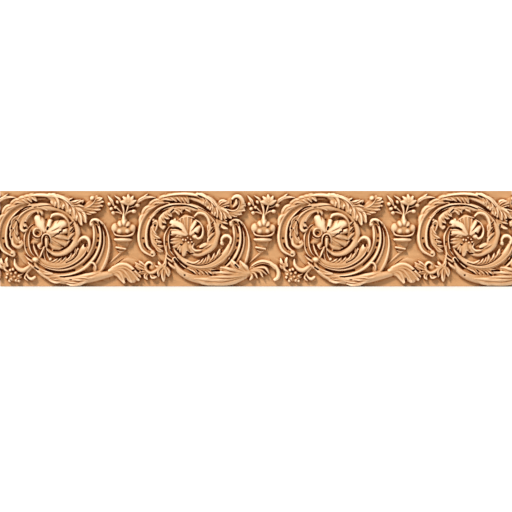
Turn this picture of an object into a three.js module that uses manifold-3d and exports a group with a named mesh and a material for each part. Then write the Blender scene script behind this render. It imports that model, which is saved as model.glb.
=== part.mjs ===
// Acanthus leaf moulding: one board with a running scroll carved in relief on its front.
// Millimetres, +Z up. X runs along the length, the front looks along -Y, and the flat back
// lies in the plane y = 0 with the origin at its middle.
import * as THREE from 'three';
import { mergeVertices } from 'three/addons/utils/BufferGeometryUtils.js';
import Module from 'manifold-3d';

// Driving dimensions
const HEIGHT = 180;          // face of the moulding, lower edge to upper edge
const LENGTH = 966;          // the piece shown, cut square at both ends
const BOARD = 14;            // flat back to the ground of the carving
const RELIEF = 16;           // ground to the top of the highest petal
const FIRST_SCROLL = 113;    // left end to the middle of the first scroll
const DRILL = 3.2;           // width of the drilled eyes and slots in the bands
const DRILL_DEPTH = 7;       // how deep they go, from the front of the band

// The ornament is drawn on squares: the face is 95.4 squares high, and the drawing repeats
// after two scrolls. Heights are counted in steps, 8.4 of them to the highest petal.
const SQUARE = HEIGHT / 95.4;
const STEP_UP = RELIEF / 8.4;
const SCROLL_PITCH = 139.55 * SQUARE;
const SCROLL_ABOVE_MIDDLE = 4.5 * SQUARE;
const URN_FROM_SCROLL = 63.5;
const BUD_SIDES = 5;
const BUD_CROWN = 0.5;       // share of a flat-topped bud's radius that its crown keeps
const LOBE_WIDEST = 0.45;    // where along its length a lobe of a leaf is widest
const PETAL_WIDEST = 0.62;
const URN_FOOT_UP = 2;       // steps from the ground to the urn's thinnest place
const URN_SWELL = 0.42;      // steps that each square of the urn's radius adds

const wasm = await Module();
wasm.setup();

// Solids

function solid(geometry) {
  geometry.deleteAttribute('normal');
  geometry.deleteAttribute('uv');
  const merged = mergeVertices(geometry, 1e-5);
  return new wasm.Manifold(new wasm.Mesh({
    numProp: 3,
    vertProperties: new Float32Array(merged.attributes.position.array),
    triVerts: new Uint32Array(merged.index.array),
  }));
}

function closedMesh(positions, faces) {
  const geometry = new THREE.BufferGeometry();
  geometry.setAttribute('position', new THREE.BufferAttribute(new Float32Array(positions), 3));
  geometry.setIndex(faces);
  return solid(geometry);
}

function geometryOf(manifold) {
  const mesh = manifold.getMesh();
  const geometry = new THREE.BufferGeometry();
  geometry.setAttribute('position', new THREE.BufferAttribute(mesh.vertProperties, 3));
  geometry.setIndex(new THREE.BufferAttribute(mesh.triVerts, 1));
  geometry.computeVertexNormals();
  return geometry;
}

function joined(solids) {
  return solids.reduce((whole, one) => whole.add(one));
}

// Curves, in squares round the middle of a scroll

function polar(degrees, radius) {
  const angle = THREE.MathUtils.degToRad(degrees);
  return [radius * Math.cos(angle), radius * Math.sin(angle)];
}

// Points at even steps of angle, each at its own distance from the scroll's middle
function swirl(fromDegrees, toDegrees, radii) {
  const degrees = (i) => THREE.MathUtils.lerp(fromDegrees, toDegrees, i / (radii.length - 1));
  return radii.map((radius, i) => polar(degrees(i), radius));
}

// A list of sizes spread evenly along a curve, read at a share of its length
function spread(sizes, share) {
  const list = [sizes].flat();
  const place = share * (list.length - 1);
  const i = Math.min(Math.floor(place), list.length - 2);
  return list.length === 1 ? list[0] : THREE.MathUtils.lerp(list[i], list[i + 1], place - i);
}

function curveThrough(points) {
  const vectors = points.map(([x, z]) => new THREE.Vector3(x, 0, z));
  return new THREE.CatmullRomCurve3(vectors, false, 'centripetal');
}

// Cross-sections of a carved form between its two feet: [share of half width, share of height]
const ROOF = [[0, 1]];
const ROLL = [[-0.7, 0.95], [0.7, 0.95]];
const HOLLOW = [[-0.8, 1], [0, 0.6], [0.8, 1]];
const TURNED = [[-0.85, 0.6], [-0.35, 1], [0.35, 1], [0.85, 0.6]];

// A rod's faces: rings of the same number of corners one after the other, closed at both ends
function rodFaces(rings, corners) {
  const faces = [];
  for (let i = 0; i < rings - 1; i += 1) {
    for (let j = 0; j < corners; j += 1) {
      const a = i * corners + j;
      const b = i * corners + ((j + 1) % corners);
      faces.push(a, a + corners, b, b, a + corners, b + corners);
    }
  }
  const last = (rings - 1) * corners;
  for (let j = 1; j < corners - 1; j += 1) {
    faces.push(0, j, j + 1, last, last + j + 1, last + j);
  }
  return faces;
}

// The carver's sheet: the forms of one scroll, drawn in squares and steps round its middle
class Sheet {
  constructor() {
    this.raised = [];
    this.drilled = [];
    this.origin = [0, 0];
  }

  at(x, z) {
    this.origin = [x, z];
    return this;
  }

  place(x, z, up) {
    return [(this.origin[0] + x) * SQUARE, -(BOARD + up * STEP_UP), (this.origin[1] + z) * SQUARE];
  }

  // A form swept along a curve, standing on the ground of the board
  ridge(points, widths, heights, steps, section = ROOF) {
    const curve = curveThrough(points);
    const positions = [];
    for (let i = 0; i <= steps; i += 1) {
      const share = i / steps;
      const middle = curve.getPoint(share);
      const along = curve.getTangent(share);
      const half = spread(widths, share) / 2;
      const height = spread(heights, share);
      for (const [side, up] of [[-1, 0], ...section, [1, 0]]) {
        positions.push(...this.place(
          middle.x - along.z * half * side, middle.z + along.x * half * side, height * up));
      }
    }
    this.raised.push(closedMesh(positions, rodFaces(steps + 1, section.length + 2)));
  }

  // One lobe of a leaf: a kite from root to tip, highest at its widest place
  lobe([x0, z0], [x1, z1], width, height, widest = LOBE_WIDEST) {
    const length = Math.hypot(x1 - x0, z1 - z0);
    const side = [-(z1 - z0) / length * width / 2, (x1 - x0) / length * width / 2];
    const middle = [x0 + (x1 - x0) * widest, z0 + (z1 - z0) * widest];
    const positions = [
      ...this.place(x0, z0, 0),
      ...this.place(middle[0] - side[0], middle[1] - side[1], 0),
      ...this.place(x1, z1, 0),
      ...this.place(middle[0] + side[0], middle[1] + side[1], 0),
      ...this.place(middle[0], middle[1], height),
    ];
    const faces = [0, 1, 4, 1, 2, 4, 2, 3, 4, 3, 0, 4, 0, 2, 1, 0, 3, 2];
    this.raised.push(closedMesh(positions, faces));
  }

  // A row of lobes down one side of a leaf, evenly spaced between two shares of its spine.
  // Each leaves the spine at lean degrees from its course.
  lobes(spine, [from, to], count, side, length, lean, width, height) {
    const curve = curveThrough(spine);
    for (let i = 0; i < count; i += 1) {
      const share = i / (count - 1);
      const t = THREE.MathUtils.lerp(from, to, share);
      const root = curve.getPoint(t);
      const along = curve.getTangent(t);
      const course = THREE.MathUtils.radToDeg(Math.atan2(along.z, along.x));
      const [dx, dz] = polar(course + side * spread(lean, share), spread(length, share));
      this.lobe([root.x, root.z], [root.x + dx, root.z + dz], width, spread(height, share));
    }
  }

  // A petal that stands out from a flower's middle
  petal([x, z], degrees, reach, width, height) {
    const [dx, dz] = polar(degrees, reach);
    this.lobe([x, z], [x + dx, z + dz], width, height, PETAL_WIDEST);
  }

  // A low pointed bud, or a flat-topped one where it has a crown
  bud(x, z, radius, height, crown = 0, radiusZ = radius) {
    const ring = (share, up) => Array.from({ length: BUD_SIDES }, (_, i) => {
      const [dx, dz] = polar((-360 * i) / BUD_SIDES, share);
      return this.place(x + dx * radius, z + dz * radiusZ, up);
    });
    if (crown > 0) {
      this.raised.push(closedMesh([...ring(1, 0), ...ring(crown, height)].flat(), rodFaces(2, BUD_SIDES)));
      return;
    }
    const faces = [];
    for (let i = 0; i < BUD_SIDES; i += 1) {
      faces.push((i + 1) % BUD_SIDES, i, BUD_SIDES);
    }
    for (let i = 1; i < BUD_SIDES - 1; i += 1) {
      faces.push(0, i, i + 1);
    }
    this.raised.push(closedMesh([...ring(1, 0), this.place(x, z, height)].flat(), faces));
  }

  // A slot cut from the front of a form, along a curve
  slot(points, top, steps) {
    const curve = curveThrough(points);
    const front = -(BOARD + top * STEP_UP);
    const deep = front + DRILL_DEPTH;
    const clear = front - DRILL_DEPTH;
    const corners = [[-1, deep], [-1, clear], [1, clear], [1, deep]];
    const positions = [];
    for (let i = 0; i <= steps; i += 1) {
      const middle = curve.getPoint(i / steps);
      const along = curve.getTangent(i / steps);
      for (const [side, y] of corners) {
        positions.push(
          (this.origin[0] + middle.x) * SQUARE - along.z * DRILL / 2 * side, y,
          (this.origin[1] + middle.z) * SQUARE + along.x * DRILL / 2 * side);
      }
    }
    this.drilled.push(closedMesh(positions, rodFaces(steps + 1, corners.length)));
  }

  eye(x, z, top) {
    const half = DRILL / 2 / SQUARE;
    this.slot([[x, z - half], [x, z + half]], top, 1);
  }
}

// What every scroll has: hollow bands, ring, stem and knot

function bands(sheet) {
  sheet.ridge([[42.6, 11.6], [48, -2], [48.6, -11], [46, -22], [40, -34]],
    [2, 3.4, 4.6, 7, 10], [4, 5, 5, 4.8, 4], 5, ROLL);
  sheet.ridge(swirl(17, -128, [38.5, 39.6, 39.9, 39.6, 39.2, 38.4, 37.2]),
    [8, 10, 9.6, 9, 8.6, 6], [4.6, 5.8, 5.6, 5.6, 5.5, 5], 8, HOLLOW);
  sheet.ridge(swirl(138, 202, [43, 50.4, 54.6, 56.5, 51]),
    [8, 9, 10, 10, 6], [5, 5.4, 5.6, 5.6, 5], 6, HOLLOW);
  sheet.bud(-46.7, -19, 3.4, 5.6);
  sheet.bud(32.4, 11.4, 3.2, 5.4);
  sheet.eye(38.8, -4.5, 4);
  sheet.eye(-56, -4.3, 4);
  sheet.slot([[37.4, -13], [32, -23], [25, -30]], 4, 2);
}

function ring(sheet) {
  sheet.ridge(swirl(140, -128, [44, 32.5, 26.4, 22.8, 20.2, 18.9, 18.4, 18.2, 18.4, 19.4, 20.8, 19]),
    [7, 6, 5, 5.6, 6.2, 6.4, 6, 4.6, 3], [5, 5.2, 5.2, 5.4, 5.6, 5.6, 5.6, 5.2, 4], 12, ROLL);
  sheet.ridge([[-25.5, -23], [-31.5, -15], [-32.6, -5], [-30.4, 3.5], [-24, 10.5]],
    [4, 6, 6, 5, 1], [5, 5.2, 5.2, 4.8, 4], 5, ROLL);
}

function stem(sheet) {
  sheet.ridge([[52, -39.5], [36, -42.6], [19, -45.8], [-1, -46], [-18, -39], [-24.5, -27]],
    [6, 9, 9.6, 7, 6, 4], [5, 6.4, 7, 6.2, 5.6, 5], 7, ROLL);
  sheet.bud(-23.5, -25.5, 4.6, 7.2, BUD_CROWN, 3.4);
  sheet.lobe([-25, -28], [-34.5, -21], 3.4, 5.6);
  sheet.lobe([30, -43], [6, -45], 7, 8);
}

// The urn between two scrolls: radii from its foot up to the neck, evenly spaced, then the
// four petals round its bowl and the thin ridge that runs down from it to the stem
function urn(sheet) {
  const radii = [3, 5.4, 7.8, 9.6, 7.4, 11.2, 10.6, 4.6, 2.4, 1.4];
  const widths = radii.map((radius) => 2 * radius);
  const heights = radii.map((radius) => URN_FOOT_UP + radius * URN_SWELL);
  sheet.ridge([[0, -17], [0, 22]], widths, heights, radii.length - 1, TURNED);
  for (const [root, tip] of [[-6, -9.4], [-2.4, -3], [3, 4], [6.6, 9.4]]) {
    sheet.lobe([root, -1], [tip, 12.6], 6, 7.4, PETAL_WIDEST);
  }
  sheet.ridge([[-0.5, -16.4], [-7, -22.6], [-14, -29]], [3.4, 2.2, 1.4], [2, 1.4, 0.8], 2);
}

// The spray of leaves, blossom and buds that stands in the urn
function spray(sheet) {
  sheet.ridge([[1, 18], [0, 28], [-8.4, 38]], [2.4, 3.4, 1], [5, 5.4, 4.6], 3);
  sheet.ridge([[0, 20], [-8, 28], [-15.2, 38]], [2, 3.6, 1], [4.4, 5, 4], 3);
  sheet.ridge([[2, 19], [9, 28.6], [20, 36], [32, 36.6]], [2, 2.4, 4, 0.8], [4.6, 5.2, 5, 4], 4);
  const petals = 5;
  for (let i = 0; i < petals; i += 1) {
    sheet.petal([5.6, 32], 10 + (160 * i) / (petals - 1), 7.4, 5, 6);
  }
  for (const [x, z] of [[-6, 32], [-8, 26.4], [-9.6, 21.4], [-13.4, 30], [14, 29], [10.4, 22.8]]) {
    sheet.bud(x, z, 2.6, 5);
  }
}

// First scroll of a repeat

function topLeafA(sheet) {
  const blade = [[-58.5, 10], [-50.5, 26.5], [-34, 36], [-13, 37.6], [5, 33], [16.5, 21.5], [22, 14]];
  sheet.ridge(blade, [2, 5.5, 6, 5, 7.5, 8, 2], [4, 5, 6, 6.6, 7.6, 7.4, 5.5], 8, ROLL);
  sheet.lobes(blade, [0.1, 0.42], 4, -1, 8, 30, 4.4, [5.4, 6.6]);
  sheet.lobes(blade, [0.6, 0.92], 4, -1, 8, 60, 5.4, [7.6, 7]);
}

function branchLeafA(sheet) {
  const spine = [[15, 23], [27, 22.6], [35.8, 29.5], [40, 34]];
  sheet.ridge(spine, [5, 5.2, 4.4, 2], [6.6, 6.2, 5.8, 5], 3, ROLL);
  sheet.lobes(spine, [0.3, 0.9], 4, -1, 6, 50, 4, 5.8);
  for (const [x, z] of [[11.6, 36.5], [18, 34.5], [24.8, 28]]) {
    sheet.lobe([11, 25], [x, z], 5, 6.8, 0.6);
  }
  sheet.bud(32.5, 35, 2.6, 5);
}

function hangingLeavesA(sheet) {
  sheet.ridge([[-22, 24], [-36.5, 19.5], [-44.2, 7], [-43.6, -4], [-38.5, -9]],
    [3.5, 6.6, 7.6, 6.4, 3.6], [4.6, 4.8, 4.8, 5.2, 5.2], 6, ROLL);
  sheet.ridge([[-24, 22], [-31.6, 18.6], [-35.6, 10.5], [-33, 4.8]],
    [2.5, 4.6, 4.6, 2.4], [4.4, 5, 5, 4.6], 4);
  sheet.ridge([[-8.5, 16.3], [-2, 20], [7, 15.5], [10.2, 1]], [1.4, 3.2, 3.4, 2], [5.6, 6.4, 6.2, 5], 4);
}

function bottomLeafA(sheet) {
  const spine = [[-19.5, -24], [-8, -30.4], [8, -28.6], [22, -18.4], [27, -11]];
  sheet.ridge(spine, [3, 6, 7.4, 7.6, 5], [5, 6, 6.4, 6.2, 5.8], 5, ROLL);
  sheet.ridge([[28.6, -14], [29.4, -8.6], [25, -3.8], [19.2, -8.4]],
    [3, 3.4, 3.2, 1.4], [5.8, 6.8, 6.8, 5.6], 4);
  sheet.lobes(spine, [0.34, 0.8], 4, 1, 7, 56, 4.4, 6);
}

function flowerA(sheet) {
  const heart = [-11.5, -1];
  for (const [degrees, reach] of [[122, 19], [88, 13], [48, 20], [20, 18]]) {
    sheet.petal(heart, degrees, reach, 9, 8.4);
  }
  for (const [degrees, reach] of [[-8, 16], [-32, 17], [-58, 16], [160, 14], [196, 14], [224, 15]]) {
    sheet.petal(heart, degrees, reach, 7, 6.4);
  }
  sheet.bud(-12.6, -5, 3.4, 7.4, BUD_CROWN, 6);
  sheet.ridge([[-13.6, -9], [-15.5, -17], [-22, -25]], [2.8, 3.4, 3], [5.6, 5.6, 6], 2);
  sheet.lobe([-14, -10], [-8, -27], 5, 5.6, 0.7);
}

function sprigA(sheet) {
  sheet.ridge([[-44.6, -25.6], [-43, -33.4], [-36, -36.2], [-28, -30.5]],
    [1.2, 3.8, 4, 3.4], [4, 5, 5.4, 5.4], 4);
  sheet.ridge([[-27.5, -32], [-33, -39], [-29, -44.5], [-24.8, -43]],
    [2.4, 2.4, 2.6, 1.6], [4.4, 4.2, 4.4, 4], 3);
  sheet.ridge([[-54, -25.5], [-54, -31], [-49, -38]], [6, 3, 2.4], [4.4, 3.8, 3.4], 2);
  for (const [x, z] of [[-46, -35.5], [-51, -40.5], [-45, -40.6], [-48, -44.8], [-42.4, -45]]) {
    sheet.bud(x, z, 2.3, 4.6);
  }
}

function rightLeafA(sheet) {
  sheet.ridge([[53, -34], [66, -28.6], [86, -33]], [2, 9, 3], [1, 1.6, 0.4], 2);
  [[65.6, -47], [71.6, -46.6], [80, -43.8], [73.5, -36]].forEach(([x, z], i) => {
    sheet.ridge([[50, -37.6], [60 + i, -37 + i], [x, z]], [3.6, 6.4, 1], [5, 6, 5.2], 2);
  });
}

// Second scroll of a repeat

function topLeafB(sheet) {
  const blade = [[-59, 12], [-50.5, 27.5], [-35, 36.4], [-16, 39], [3, 37], [15, 27], [22, 15]];
  sheet.ridge(blade, [2, 5, 5.6, 4.8, 5.8, 8, 3], [4, 5, 6, 6.2, 7.4, 7.6, 6], 8, ROLL);
  sheet.lobes(blade, [0.08, 0.46], 5, -1, 8.4, 32, 4.4, [5.4, 6.6]);
  sheet.lobes(blade, [0.66, 0.94], 4, -1, 7.6, 54, 5, [7.6, 7]);
}

function voluteB(sheet) {
  const spine = [[18, 25], [29.5, 19.6], [41.6, 24], [41.6, 34], [36.4, 36], [33.6, 29]];
  sheet.ridge(spine, [5, 5, 4.4, 4, 3.4, 2.2], [6.8, 6.2, 6, 6.4, 6.4, 5.6], 7, ROLL);
  sheet.lobes(spine, [0.14, 0.5], 4, -1, 5.4, 48, 4.4, 6);
  for (const [x, z] of [[20, 32.6], [26, 33], [30, 29.4]]) {
    sheet.lobe([17, 24], [x, z], 4.4, 6.8, 0.6);
  }
  sheet.lobe([19, 14], [28, 5.2], 4, 5.8);
}

function innerLeavesB(sheet) {
  const spine = [[-3, 23], [-18, 25.8], [-33, 20.4], [-38.6, 10], [-35.4, 6.4]];
  sheet.ridge(spine, [3, 4.4, 4.6, 4, 3], [5, 5.4, 5.6, 5.4, 5], 5);
  sheet.lobes(spine, [0.12, 0.6], 4, 1, 6, 54, 4.6, 5.8);
  sheet.ridge([[-50, 16], [-35, 27.4], [-17.5, 29.8], [-2, 26]], [2, 3.4, 3.6, 3], [5, 6, 6, 5.6], 5);
  const hanging = [[-42.5, 11.6], [-46.6, 3], [-45.4, -7], [-41.6, -15.6]];
  sheet.ridge(hanging, [4, 5.4, 5.4, 3], 4.8, 3, ROLL);
  sheet.lobes(hanging, [0.3, 0.85], 3, 1, 8, 66, 4, 5.4);
  sheet.ridge([[-4.5, 18], [3, 21], [9.6, 14], [10.4, 2]], [1.8, 3.4, 3.2, 2], [6, 6.6, 6, 5], 4);
}

function bottomLeafB(sheet) {
  const spine = [[-25, -16], [-14, -27], [5, -31], [20.6, -24], [30, -12]];
  sheet.ridge(spine, [3, 5.4, 7.4, 8, 4], [5, 5.8, 6.4, 6.4, 5.6], 6, ROLL);
  sheet.ridge([[31, -9.4], [29.6, -3], [24.4, -2.8], [22.4, -9]],
    [3, 3.2, 3.2, 3.4], [6.4, 6.8, 6.8, 6.4], 4);
  sheet.lobes(spine, [0.32, 0.84], 4, 1, 7, 54, 4.4, 6.2);
  sheet.lobes(swirl(-100, -66, [37, 37, 37]), [0, 1], 3, -1, 8, 46, 5, 6.2);
  for (const [x, z] of [[29.4, -28.6], [42, -31]]) {
    sheet.lobe([36, -43], [x, z], 6, 7);
  }
}

function flowerB(sheet) {
  const heart = [-8, -2];
  for (const [degrees, reach] of [[147, 25], [164, 22], [186, 19]]) {
    sheet.petal(heart, degrees, reach, 7.4, 7.6);
  }
  for (const [degrees, reach] of [[206, 21], [228, 22], [250, 20], [272, 19]]) {
    sheet.petal(heart, degrees, reach, 6.4, 6.2);
  }
  sheet.bud(-3.4, 4, 7.6, 8.2, BUD_CROWN, 9);
  sheet.ridge([[-24, 12], [-15, 16.8], [-6, 15.4]], [1.6, 2.6, 2], [4.4, 5.2, 4.6], 3);
}

function sprigB(sheet) {
  sheet.ridge([[-33, -14], [-32.8, -22], [-38, -31.5]], [3, 3.4, 3], [5, 5, 4.8], 3);
  sheet.ridge([[-37, -31], [-46.6, -38.6], [-53.4, -34], [-49, -29]], [4, 4, 3.2, 1.6], [5, 5.2, 5, 4], 6);
  sheet.lobes([[-46, -40], [-54, -38], [-56, -31]], [0, 1], 4, -1, 8, 56, 4.6, 4.6);
  for (const [x, z] of [[-40, -42.6], [-35.4, -46], [-31, -41.6]]) {
    sheet.lobe([-34.4, -31], [x, z], 5, 5.2, 0.6);
  }
}

function rightLeafB(sheet) {
  sheet.ridge([[50, -36], [63, -28.6], [75, -32], [79, -39], [75.6, -45]],
    [3, 6, 4.6, 4.4, 3], [3.6, 4.4, 5, 5.6, 4.8], 6);
  sheet.lobes([[50, -37], [58, -36], [65, -33.6]], [0, 1], 4, -1, [9, 7.6], [70, 50], 5, 5.6);
}

const SHARED_FORMS = [bands, ring, stem];
const SCROLL_A = [topLeafA, branchLeafA, hangingLeavesA, bottomLeafA, flowerA, sprigA, rightLeafA];
const SCROLL_B = [topLeafB, voluteB, innerLeavesB, bottomLeafB, flowerB, sprigB, rightLeafB];

// One scroll with the urn on its right, round its own middle
function scroll(forms) {
  const sheet = new Sheet();
  for (const form of [...SHARED_FORMS, ...forms]) {
    form(sheet);
  }
  sheet.at(URN_FROM_SCROLL, 0);
  urn(sheet);
  spray(sheet);
  return { raised: joined(sheet.raised), drilled: joined(sheet.drilled) };
}

function board(length, depth) {
  const box = new THREE.BoxGeometry(length, depth, HEIGHT);
  box.translate(0, -depth / 2, 0);
  return solid(box);
}

// The board, and scrolls that run past both of its ends, cut square to its length
function carvedBoard() {
  const kinds = [scroll(SCROLL_A), scroll(SCROLL_B)];
  const raised = [];
  const drilled = [];
  const before = Math.ceil(FIRST_SCROLL / SCROLL_PITCH);
  const after = Math.ceil((LENGTH - FIRST_SCROLL) / SCROLL_PITCH);
  for (let i = -before; i <= after; i += 1) {
    const kind = kinds[Math.abs(i % 2)];
    const place = [-LENGTH / 2 + FIRST_SCROLL + i * SCROLL_PITCH, 0, SCROLL_ABOVE_MIDDLE];
    raised.push(kind.raised.translate(place));
    drilled.push(kind.drilled.translate(place));
  }
  const room = board(LENGTH, (BOARD + RELIEF) * 2);
  return board(LENGTH, BOARD).add(joined(raised).intersect(room)).subtract(joined(drilled));
}

const wood = new THREE.MeshStandardMaterial({ color: 0xd9aa72, roughness: 0.6, metalness: 0 });
const moulding = new THREE.Mesh(geometryOf(carvedBoard()), wood);
moulding.name = 'moulding';

const part = new THREE.Group();
part.add(moulding);

export default part;
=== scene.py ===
"""The carved face of the moulding, its wood, and a plain studio round it.

The face is a height field, drawn form by form as a carver lays it out: hollow bands, rings,
stems and leaves, each a section swept along a curve. Its unit of drawing is a square, of which
the face is 95.4 high, and its unit of height is a step, of which the relief is 8.4 deep. Places
are given from the middle of each scroll, x along the length and z up the face.
"""

import bpy
import numpy as np
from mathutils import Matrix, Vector


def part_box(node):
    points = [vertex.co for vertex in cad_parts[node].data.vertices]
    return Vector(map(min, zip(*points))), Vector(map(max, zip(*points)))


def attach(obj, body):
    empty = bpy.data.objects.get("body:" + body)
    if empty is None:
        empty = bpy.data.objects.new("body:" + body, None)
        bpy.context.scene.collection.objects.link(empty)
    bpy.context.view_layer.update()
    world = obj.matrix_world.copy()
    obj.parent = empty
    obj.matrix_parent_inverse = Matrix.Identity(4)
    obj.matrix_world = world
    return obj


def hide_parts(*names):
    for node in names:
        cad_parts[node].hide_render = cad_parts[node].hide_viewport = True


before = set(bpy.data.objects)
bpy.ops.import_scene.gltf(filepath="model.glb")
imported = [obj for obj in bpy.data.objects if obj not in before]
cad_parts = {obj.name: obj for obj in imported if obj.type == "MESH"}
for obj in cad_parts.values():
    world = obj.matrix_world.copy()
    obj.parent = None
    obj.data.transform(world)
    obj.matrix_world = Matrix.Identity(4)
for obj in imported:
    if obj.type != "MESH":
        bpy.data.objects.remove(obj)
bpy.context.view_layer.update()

# Sizes in metres: the frame's box, the plain board's thickness, and the first scroll's place
LOW, HIGH = (np.array(corner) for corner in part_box("moulding"))
LENGTH, DEPTH, HEIGHT = HIGH - LOW
BOARD = 0.014
GROUND = LOW[1] + DEPTH - BOARD
FIRST_SCROLL = 0.113

# The drawing's squares and steps
SQUARES_HIGH = 95.4
STEPS_DEEP = 8.4
SQUARE = HEIGHT / SQUARES_HIGH
STEP_UP = (DEPTH - BOARD) / STEPS_DEEP
SCROLL_PITCH = 139.55
SCROLL_ABOVE_MIDDLE = 4.5
URN_FROM_SCROLL = 63.5
MIDDLE = LENGTH / SQUARE / 2

# How fine the face is worked
CELL = 0.25          # squares to a cell of the height field
SPAN_STEPS = 10      # short steps to a stretch of curve
BEND_LIMIT = 1.2     # the most that a curve swings past its next place, in chords
SLOT_SIDE = 0.45     # squares over which a slot's side slopes
TRIANGLES = 190000
SHARP_ANGLE = np.radians(42)
TINY = 1e-9
FAR = 1e9


# Curves and sections

def polar(degrees, radius):
    """The place at an angle and a distance."""
    angle = np.radians(degrees)
    return np.array([radius * np.cos(angle), radius * np.sin(angle)])


def swirl(start, end, radii):
    """Points round a scroll's middle at even steps of angle, each at its own distance."""
    return [polar(degrees, radius) for degrees, radius in zip(np.linspace(start, end, len(radii)), radii)]


def spread(sizes, share):
    """A list of sizes spread evenly along a curve, read at a share of its length."""
    sizes = np.atleast_1d(sizes)
    return np.interp(share, np.linspace(0, 1, len(sizes)), sizes)


def smooth(points):
    """Points close together on a smooth curve through the given ones, and each one's share of the way."""
    points = np.array(points, float)
    if len(points) == 2:
        return points, np.array([0.0, 1.0])
    ends = np.vstack([2 * points[0] - points[1], points, 2 * points[-1] - points[-2]])
    spans = []
    t = np.linspace(0, 1, SPAN_STEPS, endpoint=False)[:, None]
    for a, b, c, d in zip(ends[:-3], ends[1:-2], ends[2:-1], ends[3:]):
        into, out = (c - a) / 2, (d - b) / 2
        chord = np.linalg.norm(c - b)
        into, out = (v * min(1, BEND_LIMIT * chord / max(np.linalg.norm(v), TINY)) for v in (into, out))
        spans.append((2 * t**3 - 3 * t**2 + 1) * b + (t**3 - 2 * t**2 + t) * into
                     + (3 * t**2 - 2 * t**3) * c + (t**3 - t**2) * out)
    line = np.vstack([*spans, points[-1:]])
    return line, np.linspace(0, 1, len(line))


def wall(across):
    """Full height nearly to the edge, then steeply down."""
    return np.sqrt(np.clip(1 - np.abs(across) ** 6, 0, 1))


def roll(across):
    """Half round, like a rod."""
    return np.sqrt(np.clip(1 - across**2, 0, 1)) ** 0.85


def lobe(across):
    """A leaf's lobe: crowned, falling to sharp valleys at both edges."""
    return np.clip(1 - np.abs(across) ** 1.7, 0, 1) ** 0.62


def slab(across):
    """Nearly flat with rounded edges."""
    return wall(across) * (0.72 + 0.28 * (1 - across**2))


def hollow(across):
    """A channel between two round rims."""
    return np.maximum(roll((np.abs(across) - 0.64) / 0.36), 0.62 * wall(across))


def blade(across):
    """A leaf's lobe that leans, so that its right edge stands over its neighbour."""
    return wall(across) * (0.84 - 0.16 * across)


def turned_blade(across):
    """The same, with its left edge up."""
    return wall(across) * (0.84 + 0.16 * across)


def petal(across):
    """A broad petal, gently crowned to a firm edge."""
    return wall(across) * (0.84 + 0.16 * (1 - across**2))


def veined(across):
    """A petal with a groove along its middle."""
    return slab(across) - 0.16 * np.exp(-((across / 0.16) ** 2))


# The height field

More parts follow.
